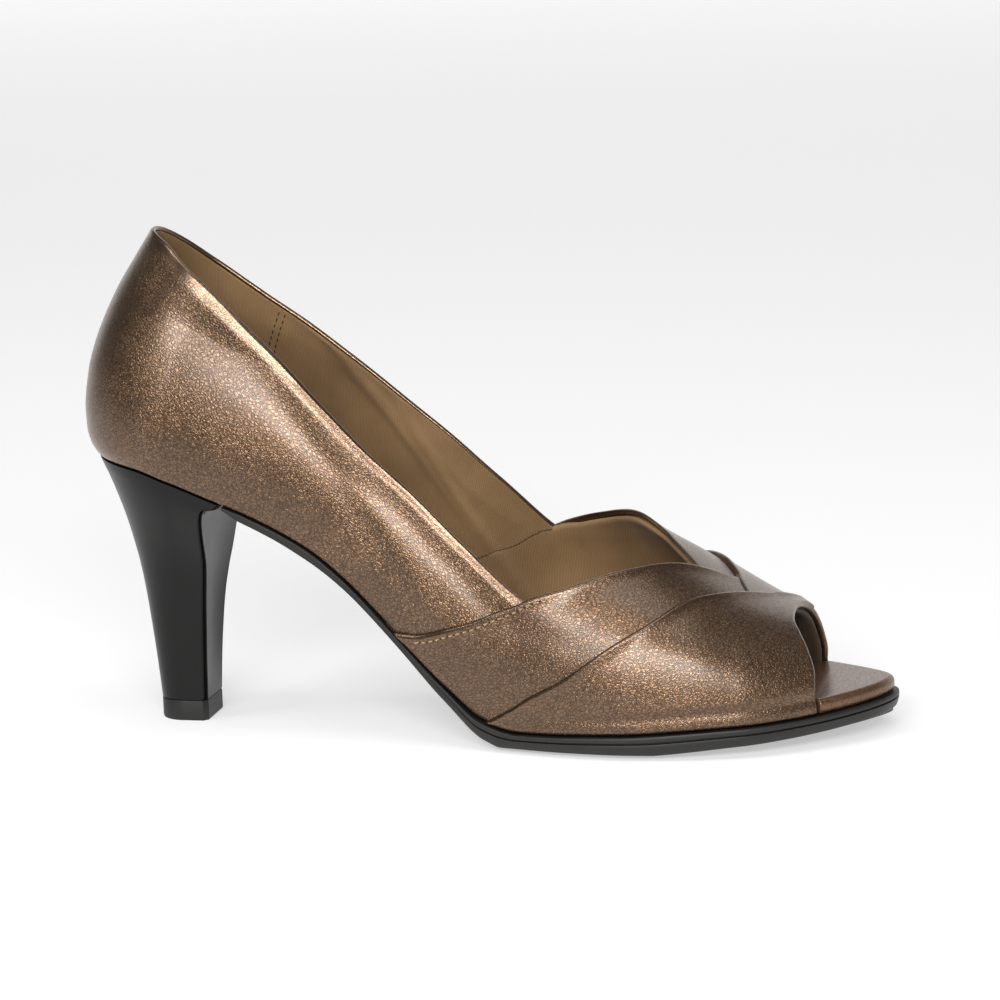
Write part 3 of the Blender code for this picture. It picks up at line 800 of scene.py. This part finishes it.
def matt_white_paper():
    """Studio paper that glows a little, as if lit from below."""
    # In front of the picture its colour and glow fall off to grey, a painted fall-off of the light. The eye then
    # sees a dark band in the bronze between the floor's reflection and the softbox's.
    material, tree, shader = new_material("matt_white_paper", Roughness=0.9, Specular_IOR_Level=0.0)
    turn = np.radians(AZIMUTH)
    ground = add_node(tree, "TexCoord").outputs["Object"]
    ahead = add_node(tree, "VectorMath", {"operation": "DOT_PRODUCT"},
                     {0: ground, 1: (-np.sin(turn), np.cos(turn), 0)}).outputs["Value"]
    # Painted fall-off of light: in front of the shoe the paper turns dark grey and stops glowing.
    lit = add_node(tree, "MapRange", {"interpolation_type": "SMOOTHSTEP"},
                   {"Value": ahead, "From Min": FALL_OFF[0], "From Max": FALL_OFF[1]})
    tone = add_node(tree, "Mix", {"data_type": "RGBA"},
                    {0: lit, 6: linear("#5A5A5A"), 7: linear("#CBCBCB")})
    even = add_node(tree, "MapRange", None,
                    {"Value": ahead, "From Min": 0.0, "From Max": GLOW_REACH, "To Min": GLOW[0],
                     "To Max": GLOW[1]})
    glow = add_node(tree, "Math", {"operation": "MULTIPLY_ADD"},
                    {0: lit, 1: even, 2: LEAST_GLOW})
    set_inputs(tree, shader, {"Base Color": tone.outputs[2], "Emission Color": linear("#FFFFFF"),
                              "Emission Strength": glow})
    return material


def add_piece(name, points, quads, material, slot, node=None, lengths=None, sharp=180, fold=None):
    """Puts points and quads into a mesh, closes what touches and turns it outwards, and seats it on the frame.

    lengths are a place's lengths over the surface, for a weave. fold is 1 where leather is pulled over an edge.
    """
    mesh = bpy.data.meshes.new(name)
    mesh.from_pydata((points.reshape(-1, 3) + PLACING).tolist(), [], quads.tolist())
    if fold is not None:
        layer = mesh.attributes.new("fold", "FLOAT", "POINT")
        layer.data.foreach_set("value", fold.reshape(-1).astype(np.float32))
    if lengths is not None:
        layer = mesh.uv_layers.new(name="lengths")
        layer.data.foreach_set("uv", lengths.reshape(-1, 2)[quads.reshape(-1)].reshape(-1))
    form = bmesh.new()
    form.from_mesh(mesh)
    bmesh.ops.remove_doubles(form, verts=form.verts, dist=MERGE)
    if form.calc_volume(signed=True) < 0:
        bmesh.ops.reverse_faces(form, faces=form.faces)
    form.to_mesh(mesh)
    form.free()
    mesh.shade_smooth()
    if sharp < 180:
        mesh.set_sharp_from_angle(angle=np.radians(sharp))
    mesh.materials.append(material)
    piece = bpy.data.objects.new(name, mesh)
    bpy.context.scene.collection.objects.link(piece)
    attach(piece, "root")
    if node:
        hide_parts(node)
    return piece


def shell_mesh(outer, inner):
    """A closed shell between two skins: each section runs along the outer skin and back along the inner one."""
    loops = np.concatenate([outer, inner[:, ::-1]], 1)
    count, size = loops.shape[:2]
    index = np.arange(count * size).reshape(count, size)
    turned = np.roll(index, -1, axis=1)
    sides = np.stack([index[:-1], turned[:-1], turned[1:], index[1:]], -1).reshape(-1, 4)
    k = np.arange(size // 2 - 1)
    strip = np.stack([k, k + 1, size - 2 - k, size - 1 - k], -1)
    return loops, np.concatenate([sides, strip[:, ::-1], strip + (count - 1) * size])


def add_leather(name, outer, inner, fold, material):
    """A leather piece of the upper between two skins that are pulled over its edges alike."""
    points, quads = shell_mesh(outer, inner)
    fold = np.concatenate([fold, fold[:, ::-1]], 1)
    add_piece(name, points, quads, material, "upper_leather", "upper", fold=fold)


def surface_lengths(loops):
    """Lengths over the shell: along its columns at the middle of the section, and round each section."""
    size = loops.shape[1]
    ahead = np.linalg.norm(np.diff(loops[:, size // 4], axis=0), axis=1)
    round_it = np.linalg.norm(np.diff(loops, axis=1), axis=2)
    u = np.concatenate([[0.0], np.cumsum(ahead)])[:, None] * np.ones(size)
    v = np.concatenate([np.zeros((len(loops), 1)), np.cumsum(round_it, axis=1)], 1)
    return np.stack([u, v], -1)


def both_halves(halves):
    """Outer and inner half of a piece as one grid, joined at the back."""
    return np.concatenate([halves[0][::-1], halves[1][1:]])


def quarter_skin(depth):
    """Leather of the quarters at a depth: up the wall, half a turn over the collar, and down inside it.

    Returns the grid and how far each place is pulled over the edge, a Gaussian in the distance under it.
    """
    spread = np.linspace(0, 1, QUARTER_COLUMNS)[:, None] ** 1.6
    share = 1 - (1 - np.linspace(0, 1, QUARTER_ROWS)[None, :]) ** 1.15
    share = share ** 1.15
    turn = np.linspace(0, np.pi, 2 * FOLD_TURNS)[None, 1:]
    down = np.linspace(0, EDGE_TUCK, 8)[None, 1:]
    radius = EDGE_ROUND - depth
    halves = []
    folded = []
    for side, foot_end, rim_end in zip((-1.0, 1.0), QUARTER_FOOT, QUARTER_RIM):
        foot = foot_end * spread
        rim = rim_end * spread
        crest = collar_rise(rim, side) - EDGE_ROUND
        top = rise_across(rim, side, crest)
        bow = QUARTER_BOW / LAST_LENGTH * spread ** 8 * 4 * share * (1 - share)
        along = foot + (rim - foot) * share + bow
        across = side + (top - side) * share
        below = (crest - rise_of(rim, across)) / EDGE_REACH
        edge = EDGE_SWELL * np.exp(-(below - 0.8) ** 2) - EDGE_HOLLOW * np.exp(-((below - 3.6) / 1.5) ** 2)
        edge = edge * np.clip(below, 0, 1) * np.clip(rim / SWELL_START, 0, 1) ** 2
        wall = wall_point(along, across, leather_relief(along, across) + edge - depth)
        roll = wall_point(rim, rise_across(rim, side, crest + radius * np.sin(turn)),
                          radius * np.cos(turn) - EDGE_ROUND)
        tuck = wall_point(rim, rise_across(rim, side, crest - down), depth - 2 * EDGE_ROUND)
        halves.append(np.concatenate([wall, roll, tuck], 1))
        pulled = np.exp(-np.maximum(below, 0) ** 2)
        folded.append(np.concatenate([pulled, np.ones((len(rim), roll.shape[1] + tuck.shape[1]))], 1))
    return both_halves(halves), both_halves(folded)


def quarter_lining_skin(depth, swell):
    """Lining of the quarters at a depth, from the foot to a little under the collar, with a rounded top edge.

    The last rows turn by a quarter circle whose size is swell.
    """
    spread = np.linspace(0, 1, QUARTER_COLUMNS)[:, None] ** 1.6
    rows = np.linspace(0, 1, LINING_ROWS)[None, :]
    turn = np.linspace(0, np.pi / 2, FOLD_TURNS)[None, 1:]
    halves = []
    for side, foot_end, rim_end in zip((-1.0, 1.0), QUARTER_FOOT, QUARTER_RIM):
        rim = rim_end * spread
        foot = foot_end * spread
        crest = collar_rise(rim, side) - LINING_DROP
        top = rise_across(rim, side, crest)
        along = foot + (rim - foot) * rows
        across = side + (top - side) * rows
        face = wall_point(along, across, -folds(LINING_FOLDS, along, across) - depth)
        edge = wall_point(rim, rise_across(rim, side, crest + abs(swell) * np.sin(turn)),
                          swell * (1 - np.cos(turn)) - depth)
        halves.append(np.concatenate([face, edge], 1))
    return both_halves(halves)


def folded_rows(start, end, across, fold, lip, count):
    """Places along a band from its folded rear edge to its front lip, and how far each has come out of its fold.

    Rows stand close where the section turns: there the distance from the edge is 1 minus the cosine and the
    thickness is the sine of a quarter turn. Distances are square to the edge, by the sine of its slant.
    """
    edge = wall_point(start, across, 0.0)
    tangent = np.gradient(edge[:, 0], axis=0)[:, None]
    run = wall_point(start + NEAR, across, 0.0) - edge
    slant = np.linalg.norm(np.cross(tangent, run), axis=-1)
    slant /= np.linalg.norm(tangent, axis=-1) * np.linalg.norm(run, axis=-1)
    slant = np.clip(slant, 0.2, 1)
    width = (end - start) * LAST_LENGTH * slant
    fold = np.minimum(fold, 0.45 * width)
    lip = np.minimum(lip, 0.45 * width)
    turn = np.linspace(0, np.pi / 2, FOLD_TURNS)[None, :]
    middle = np.linspace(0, 1, count)[None, 1:-1]
    distance = np.concatenate([fold * (1 - np.cos(turn)), fold + (width - fold - lip) * middle,
                               width - lip * (1 - np.cos(turn[:, ::-1]))], 1)
    out = np.concatenate([np.sin(turn), np.ones_like(middle), np.sin(turn[:, ::-1])], 1)
    return start + distance / (LAST_LENGTH * slant), distance, out


def band_skins(rear, side, layer, layers):
    """Outer and inner skin of a band, and how far each place is pulled over its folded rear edge.

    The outer skin stands at its layer's height, with a puff behind the fold that is a Gaussian in the distance
    from it. The puff fades where another band covers it.
    """
    share = np.linspace(0, 1, BAND_COLUMNS)[:, None] ** 1.2
    across = side + (rear[-1, 0] - side) * share
    start = smooth(rear, across, 1)
    end = smooth(TOE_OPENING, across, 1) - (layers - layer) * GAP / LAST_LENGTH
    end = np.maximum(end, start + BAND_TIP / LAST_LENGTH)
    along, distance, out = folded_rows(start, end, across, BAND_FOLD, BAND_LIP, BAND_ROWS)
    shown = np.clip((side * across + 0.05) / 0.2, 0, 1) if layer < layers else 1.0
    puff = BAND_PUFF * shown * np.exp(-(distance / PUFF_REACH) ** 2)
    high = layer * BAND_STEP + puff + leather_relief(along, across)
    low = -BAND_ROOT - layer * MERGE
    middle = (layer * BAND_STEP + low) / 2
    outer = wall_point(along, across, middle + (high - middle) * out)
    inner = wall_point(along, across, middle + (low - middle) * out)
    return outer, inner, np.exp(-(distance / BAND_FOLD) ** 2)


def lining_start(across):
    """Rear edge of the vamp lining: inside the throat's edge, and past the bands on to the quarters' lining."""
    outer = smooth(OUTER_REAR_BAND, across, 1)
    inner = smooth(INNER_REAR_BAND, across, 1)
    start = np.minimum(outer, inner)
    start = np.where(across < INNER_REAR_BAND[-1, 0], outer, start)
    start = np.where(across > OUTER_REAR_BAND[-1, 0], inner, start)
    beyond = np.abs(across) - np.where(across < 0, *LAP_START)
    fade = np.clip(beyond / LAP_BLEND, 0, 1)
    fade = fade ** 2 * (3 - 2 * fade)
    lap = LINING_LAP * np.clip((beyond - LAP_BLEND) / LAP_SPREAD, 0, 1)
    return start + (LINING_SETBACK * (1 - fade) - lap) / LAST_LENGTH


def vamp_lining_skins():
    """Outer and inner skin of the vamp lining, with its edges rounded at the throat and at the toe opening."""
    across = np.linspace(-0.9995, 0.9995, LINING_COLUMNS)[:, None]
    start = lining_start(across)
    end = smooth(TOE_OPENING, across, 1) - 3 * GAP / LAST_LENGTH
    along, _, out = folded_rows(start, end, across, BAND_FOLD, BAND_FOLD, LINING_ROWS)
    middle = -(BAND_ROOT + VAMP_LINING_FACE) / 2
    reach = (VAMP_LINING_FACE - BAND_ROOT) / 2
    outer = wall_point(along, across, middle + reach * out)
    inner = wall_point(along, across, middle - (reach + folds(LINING_FOLDS, along, across)) * out)
    return outer, inner


def plate_mesh(levels, crown):
    """A flat piece from its two edges at several levels, its underside lowered by a crown in the middle."""
    shares = np.array([0.0, 0.2, 0.4, 0.6, 0.8, 0.93])
    top = (levels[0][0] + levels[0][1]) / 2
    low = (levels[-1][0] + levels[-1][1]) / 2
    halves = []
    for side in (0, 1):
        path = [top + (levels[0][side] - top) * share for share in shares]
        path += [level[side] for level in levels]
        for share in shares[::-1]:
            point = low + (levels[-1][side] - low) * share
            point[:, 2] -= crown * (1 - np.clip(2 * share - 1, 0, 1) ** 2)
            path.append(point)
        halves.append(np.stack(path, 1))
    return shell_mesh(*halves)


def lifted(edges, rise):
    """Both edges of a level, raised."""
    for edge in edges:
        edge[:, 2] += rise
    return edges


def outsole_mesh():
    """The sole from the heel's breast to the toe: its side follows the side's table at each place along it."""
    rear = place_at(HEEL_SEAT_FRONT + GAP)
    places = rear + (1 - rear) * np.sin(np.linspace(0, 1, 260) * np.pi / 2) ** 0.95
    margin = SOLE_MARGIN * smooth(UNDERSIDE, places, 2)
    taper = np.clip(0.35 + (places - rear) * LAST_LENGTH / SOLE_TAPER, 0, 1)
    thick = SOLE_THICKNESS * smooth(UNDERSIDE, places, 1) * taper
    form = smooth(UNDERSIDE, places, 3)
    top = bottom_height(places)
    low = np.maximum(top - thick, 0) + SOLE_CROWN * form
    levels = []
    for depth, outset in SIDE:
        out = margin + outset * GROOVE_DEPTH * np.maximum(form, 0.25 * (depth < 0.02))
        levels.append(lifted(plan_edges((out, out), places), (low - top) * depth))
    return plate_mesh(levels, SOLE_CROWN * form)


def insole_mesh():
    """The covered board: inside the upper, then out to a rounded rim past the two ends of the toe opening."""
    mouths = smooth(TOE_OPENING, np.array([-1.0, 1.0]), 1)
    places = np.sort(np.concatenate([0.5 - 0.5 * np.cos(np.linspace(0, np.pi, 240)),
                                     *[mouth + np.linspace(0, 0.004, 8) for mouth in mouths]]))
    margins = []
    for mouth in mouths:
        out = np.clip((places - mouth) / 0.003, 0, 1)
        margins.append(INSOLE_RIM * out - (QUARTER_WALL + GAP) * (1 - out))
    turn = np.linspace(0, np.pi / 2, 8)
    insets = np.append(INSOLE_ROUND * (1 - np.sin(turn)), [0.0, 0.0004])
    rises = np.append(INSOLE_THICKNESS - INSOLE_ROUND * (1 - np.cos(turn)), [0.0008, 0.0])
    levels = [lifted(plan_edges([margin - inset for margin in margins], places), GAP + rise)
              for inset, rise in zip(insets, rises)]
    return plate_mesh(levels, 0.0)


def sock_mesh():
    """The sock glued on the insole: a thin sheet a little inside the wall, from the back to behind the toes."""
    places = SOCK_END * (0.5 - 0.5 * np.cos(np.linspace(0, np.pi, 200)))
    places = np.maximum(places, 0.0015)
    end = np.clip((places - SOCK_END + SOCK_TURN) / SOCK_TURN, 0, 1)
    inset = SOCK_INSET + SOCK_ROUND * (1 - np.sqrt(1 - end ** 2))
    levels = []
    for more, rise in ((0.0004, SOCK_THICKNESS), (0.0001, 0.7 * SOCK_THICKNESS), (0.0, 0.0)):
        edges = plan_edges((-inset - more, -inset - more), places)
        levels.append(lifted(edges, GAP + INSOLE_THICKNESS + rise))
    return plate_mesh(levels, 0.0)


def heel_outlines(side, groove_depth):
    """Half of the tip's and of the seat's outline, from the breast's middle round its corner to the back.

    The corner is a chamfer with a groove in its middle.
    """
    turn = np.linspace(0, np.pi / 2, 36)
    forward = 1 - np.cos(turn)
    out = (1 - np.cos(turn) ** HEEL_SQUARE) ** (1 / HEEL_SQUARE)
    straight = np.linspace(0, 1, 14)[1:]
    tip_straight = HEEL_TIP_FRONT - HEEL_TIP_BACK - HEEL_TIP_ROUND - BREAST_CHAMFER
    tip_x = HEEL_TIP_BACK + np.concatenate([HEEL_TIP_ROUND * forward, HEEL_TIP_ROUND + tip_straight * straight])
    tip_y = side * HEEL_TIP_WIDTH / 2 * np.concatenate([out, np.ones_like(straight)])
    seat_end = place_at(HEEL_SEAT_FRONT - BREAST_CHAMFER)
    seat_places = np.concatenate([HEEL_ROUND * forward, HEEL_ROUND + (seat_end - HEEL_ROUND) * straight])
    seat = last_point(seat_places, side)
    breast = np.concatenate([np.linspace(0, 1 - BREAST_LIP, 10), 1 - BREAST_LIP * np.linspace(1, 0, 7)[1:]])
    outlines = []
    for front, x, y in ((HEEL_TIP_FRONT, tip_x, tip_y), (HEEL_SEAT_FRONT, seat[:, 0], seat[:, 1])):
        face = np.stack(np.broadcast_arrays(front, breast * (y[-1] - side * BREAST_CHAMFER)), -1)
        edge = np.array([x[-1], y[-1]])
        groove = face[-1] + (edge - face[-1]) * np.array([[0.15], [0.4], [0.6], [0.85]])
        groove[1:3] -= groove_depth * np.array([1.0, side]) / np.sqrt(2)
        outlines.append(np.concatenate([face, groove, np.stack([x, y], -1)[::-1]]))
    return (*outlines, breast)


def heel_section(side, share, groove_depth):
    """Half of the heel's section at a share of its rise: the tip's outline on its way to the seat's.

    The breast is hollowed by a parabola, and a Gaussian groove turns in over it just under the seat.
    """
    tip, seat, breast = heel_outlines(side, groove_depth)
    depth = (tip[:, 0] - HEEL_TIP_BACK) / (HEEL_TIP_FRONT - HEEL_TIP_BACK)
    back, front, width = (smooth(HEEL, share, column) for column in (1, 2, 3))
    x = tip[:, 0] + (seat[:, 0] - tip[:, 0]) * (back + (front - back) * depth)
    y = tip[:, 1] + (seat[:, 1] - tip[:, 1]) * width
    corner = np.clip((share - 0.70) / 0.27, 0, 1)
    beyond = (breast ** 7 + corner ** 7) ** (1 / 7)
    recess = BREAST_STEP * np.exp(-((beyond - 0.95) / 0.025) ** 2) * (corner > 0.8)
    x[:len(breast)] -= BREAST_HOLLOW * np.sin(np.pi * share) * (1 - breast ** 2) + recess
    return x, y


def heel_mesh():
    """Block heel from its tip to the seat under the last, with its hollowed breast."""
    low = TOP_PIECE_HEIGHT + GAP
    halves = []
    for side in (-1.0, 1.0):
        rows = []
        for share in np.linspace(0, 1, 110):
            x, y = heel_section(side, share, BREAST_STEP)
            rows.append(np.stack([x, y, low + (bottom_height(place_at(x)) - low) * share], -1))
        halves.append(np.stack(rows))
    return shell_mesh(*halves)


def top_piece_mesh():
    """The wearing piece under the heel: the tip's outline, drawn in a little at its worn lower edge."""
    centre = (HEEL_TIP_BACK + HEEL_TIP_FRONT) / 2
    halves = []
    for side in (-1.0, 1.0):
        x, y = heel_section(side, 0.0, 0.0)
        rows = [np.stack([centre + (x - centre) * (1 - draw), y * (1 - draw), np.full(len(x), z)], -1)
                for draw, z in TOP_PIECE]
        halves.append(np.stack(rows))
    return shell_mesh(*halves)


def along_path(path, facing, pitch):
    """Points at an even pitch on a path, with the unit directions along it, out of the leather and beside it."""
    step = np.linalg.norm(np.diff(path, axis=0), axis=1)
    length = np.concatenate([[0.0], np.cumsum(step)])
    at = np.arange(pitch / 2, length[-1], pitch)
    centre, out = (np.stack([np.interp(at, length, grid[:, k]) for k in range(3)], -1)
                   for grid in (path, facing))
    ahead = np.gradient(centre, axis=0)
    ahead /= np.linalg.norm(ahead, axis=1, keepdims=True)
    beside = np.cross(out, ahead)
    beside /= np.linalg.norm(beside, axis=1, keepdims=True)
    return centre, ahead, np.cross(ahead, beside), beside


def beads_mesh(centre, ahead, out, beside, sizes):
    """Ellipsoids in one mesh: at each centre a sphere stretched by three sizes along its three directions."""
    polar = np.linspace(0, np.pi, 7)[:, None]
    turn = np.linspace(0, 2 * np.pi, 9)[None, :-1]
    ball = np.stack(np.broadcast_arrays(np.cos(polar), np.sin(polar) * np.sin(turn),
                                        np.sin(polar) * np.cos(turn)), -1)
    axes = np.stack([ahead * sizes[0], out * sizes[1], beside * sizes[2]], 1)
    points = centre[:, None, None] + np.einsum("pqk,nkj->npqj", ball, axes)
    rows, around = ball.shape[:2]
    index = np.arange(rows * around).reshape(rows, around)
    turned = np.roll(index, -1, axis=1)
    quads = np.stack([index[:-1], index[1:], turned[1:], turned[:-1]], -1).reshape(-1, 4)
    every = np.arange(len(centre))[:, None, None] * rows * around
    return points.reshape(-1, 3), (quads[None] + every).reshape(-1, 4)


def wall_path(along, across, out):
    """A path on the upper at a distance out of the last, with the direction out of it at each point."""
    return wall_point(along, across, out), outward(along, across)


def band_row(rear, side, layer):
    """Path of the row that holds a band to the quarter, a little inside the band's rear edge."""
    across = side * np.linspace(*STITCH_ENDS, 120)
    along = smooth(rear, across, 1) + STITCH_INSET / LAST_LENGTH
    return wall_path(along, across, layer * BAND_STEP + leather_relief(along, across) + BAND_PUFF * 0.55)


def lining_seam(side):
    """Path of the corded seam that holds the vamp lining to the quarters' lining."""
    across = side * np.linspace(*SEAM_ENDS, 200)
    return wall_path(lining_start(across) + SEAM_INSET / LAST_LENGTH, across, -VAMP_LINING_FACE)


def counter_row(side, place):
    """Path of a row that holds the counter's pocket, from the collar down, leaning back."""
    start, end = COUNTER_ENDS
    across = side * np.linspace(start, end, 80)
    along = place - COUNTER_SLANT * (np.abs(across) - start) / (end - start)
    return wall_path(along, across, -LINING_FACE)


def photo_camera():
    """The camera at the photograph's angle: turned, raised and rolled about the point that it looks at."""
    azimuth, elevation, roll = np.radians([AZIMUTH, ELEVATION, ROLL])
    view = np.array([-np.sin(azimuth) * np.cos(elevation), np.cos(azimuth) * np.cos(elevation),
                     -np.sin(elevation)])
    level = np.array([np.cos(azimuth), np.sin(azimuth), 0.0])
    upright = np.cross(level, view)
    right = level * np.cos(roll) - upright * np.sin(roll)
    up = upright * np.cos(roll) + level * np.sin(roll)
    data = bpy.data.cameras.new("photo_camera")
    data.lens = SENSOR * FOCAL_PIXELS / FRAME_PIXELS
    data.sensor_width = SENSOR
    data.clip_end = 50.0
    camera = bpy.data.objects.new("photo_camera", data)
    camera.matrix_world = object_matrix(right, up, -view, LOOKS_AT + PLACING - view * DISTANCE)
    bpy.context.scene.collection.objects.link(camera)
    bpy.context.scene.camera = camera


def object_matrix(right, up, back, place):
    """Matrix of an object at a place, with its three axes along those directions."""
    return Matrix([[right[k], up[k], back[k], place[k]] for k in range(3)] + [[0, 0, 0, 1]])


def softbox(name, place, faces, width, height, power):
    """A rectangular light at a place, level and turned to the point that it faces."""
    data = bpy.data.lights.new(name, "AREA")
    data.shape = "RECTANGLE"
    data.size = width
    data.size_y = height
    data.energy = power
    light = bpy.data.objects.new(name, data)
    toward = np.array(faces) - np.array(place)
    toward /= np.linalg.norm(toward)
    beside = np.cross(toward, (0, 0, 1))
    beside /= np.linalg.norm(beside)
    light.matrix_world = object_matrix(beside, np.cross(beside, toward), -toward, place)
    bpy.context.scene.collection.objects.link(light)


def studio_floor():
    """A paper sweep: a profile that lies flat, bends up by a quarter circle and stands, carried along X."""
    turn = np.linspace(0, np.pi / 2, 24)
    bend = BEND_START + BEND_RADIUS * np.sin(turn)
    sweep_y = np.concatenate([[-PAPER_HALF], bend, [BEND_START + BEND_RADIUS]])
    sweep_z = np.concatenate([[0.0], BEND_RADIUS * (1 - np.cos(turn)), [PAPER_TOP]])
    ends = np.array([-PAPER_HALF, PAPER_HALF])
    sweep = np.stack(np.broadcast_arrays(ends[None, :], sweep_y[:, None], sweep_z[:, None]), -1)
    index = np.arange(2 * len(sweep_y)).reshape(-1, 2)
    sheets = np.stack([index[:-1, 0], index[:-1, 1], index[1:, 1], index[1:, 0]], -1)
    mesh = bpy.data.meshes.new("studio_floor")
    mesh.from_pydata(sweep.reshape(-1, 3).tolist(), [], sheets.tolist())
    mesh.shade_smooth()
    mesh.materials.append(matt_white_paper())
    floor = bpy.data.objects.new("studio_floor", mesh)
    bpy.context.scene.collection.objects.link(floor)


photo_camera()

# The upper. The vamp's grain lies along the shoe, and the quarters' runs down from the collar
quarter_hide = bronze_milled_cowhide("bronze_milled_cowhide", -38)
vamp_hide = bronze_milled_cowhide("bronze_milled_cowhide_vamp", 12)
lining = tan_coated_twill()
BANDS = (
    ("inner_rear_band", INNER_REAR_BAND, 1.0),
    ("outer_rear_band", OUTER_REAR_BAND, -1.0),
    ("inner_front_band", INNER_FRONT_BAND, 1.0),
    ("outer_front_band", OUTER_FRONT_BAND, -1.0),
)
(outer, fold), (inner, _) = quarter_skin(0.0), quarter_skin(LEATHER)
add_leather("quarters", outer, inner, fold, quarter_hide)
points, quads = shell_mesh(quarter_lining_skin(LINING_BACK, -LINING_ROUND),
                           quarter_lining_skin(LINING_FACE, LINING_ROUND))
add_piece("quarter_lining", points, quads, lining, "upper_leather", "upper", surface_lengths(points))
for layer, (name, rear, side) in enumerate(BANDS, 1):
    add_leather(name, *band_skins(rear, side, layer, len(BANDS)), vamp_hide)
points, quads = shell_mesh(*vamp_lining_skins())
add_piece("vamp_lining_sheet", points, quads, lining, "upper_leather", "upper", surface_lengths(points))

# Stitching and seams. Holes lie half a pitch past the stitches
thread = bronze_waxed_thread()
lining_thread = tan_waxed_thread()
shadow = needle_hole_shadow()
for name, rear, side, layer in (("outer", OUTER_REAR_BAND, -1.0, 2), ("inner", INNER_REAR_BAND, 1.0, 1)):
    path, out = band_row(rear, side, layer)
    row = along_path(path, out, STITCH_PITCH)
    add_piece(f"{name}_band_stitches", *beads_mesh(*row, STITCH_SIZES), thread, "upper_leather")
    centre, ahead, out, beside = along_path(path[1:], out[1:], STITCH_PITCH)
    holes = beads_mesh(centre + ahead * STITCH_PITCH / 2, ahead, out, beside, HOLE_SIZES)
    add_piece(f"{name}_band_holes", *holes, shadow, "upper_leather")
for name, side in (("inner", 1.0), ("outer", -1.0)):
    path, out = lining_seam(side)
    cord = beads_mesh(*along_path(path, -out, SEAM_PITCH), SEAM_SIZES)
    add_piece(f"{name}_lining_seam", *cord, lining_thread, "upper_leather")
    for number, place in enumerate(COUNTER_PLACES, 1):
        path, out = counter_row(side, place)
        row = beads_mesh(*along_path(path, -out, COUNTER_PITCH), COUNTER_SIZES)
        add_piece(f"{name}_counter_stitches_{number}", *row, shadow, "upper_leather")

# Inside and underneath
add_piece("covered_insole", *insole_mesh(), bronze_smooth_cowhide(), "insole_leather", "insole")
points, quads = sock_mesh()
add_piece("sock_lining", points, quads, lining, "insole_leather", lengths=surface_lengths(points))
add_piece("grooved_outsole", *outsole_mesh(), black_sole_rubber(), "sole_rubber", "outsole", sharp=50)
add_piece("moulded_heel", *heel_mesh(), black_satin_abs(), "heel_plastic", "heel", sharp=30)
add_piece("wearing_top_piece", *top_piece_mesh(), black_wearing_rubber(), "top_piece_rubber", "top_piece",
          sharp=40)

# Floor and light
studio_floor()
world = bpy.data.worlds.new("studio")
world.use_nodes = True
world.node_tree.nodes["Background"].inputs["Color"].default_value = linear("#F4F4F4")
world.node_tree.nodes["Background"].inputs["Strength"].default_value = AIR_GLOW
bpy.context.scene.world = world
bpy.context.scene.view_settings.view_transform = "Standard"
for row in SOFTBOXES:
    softbox(*row)
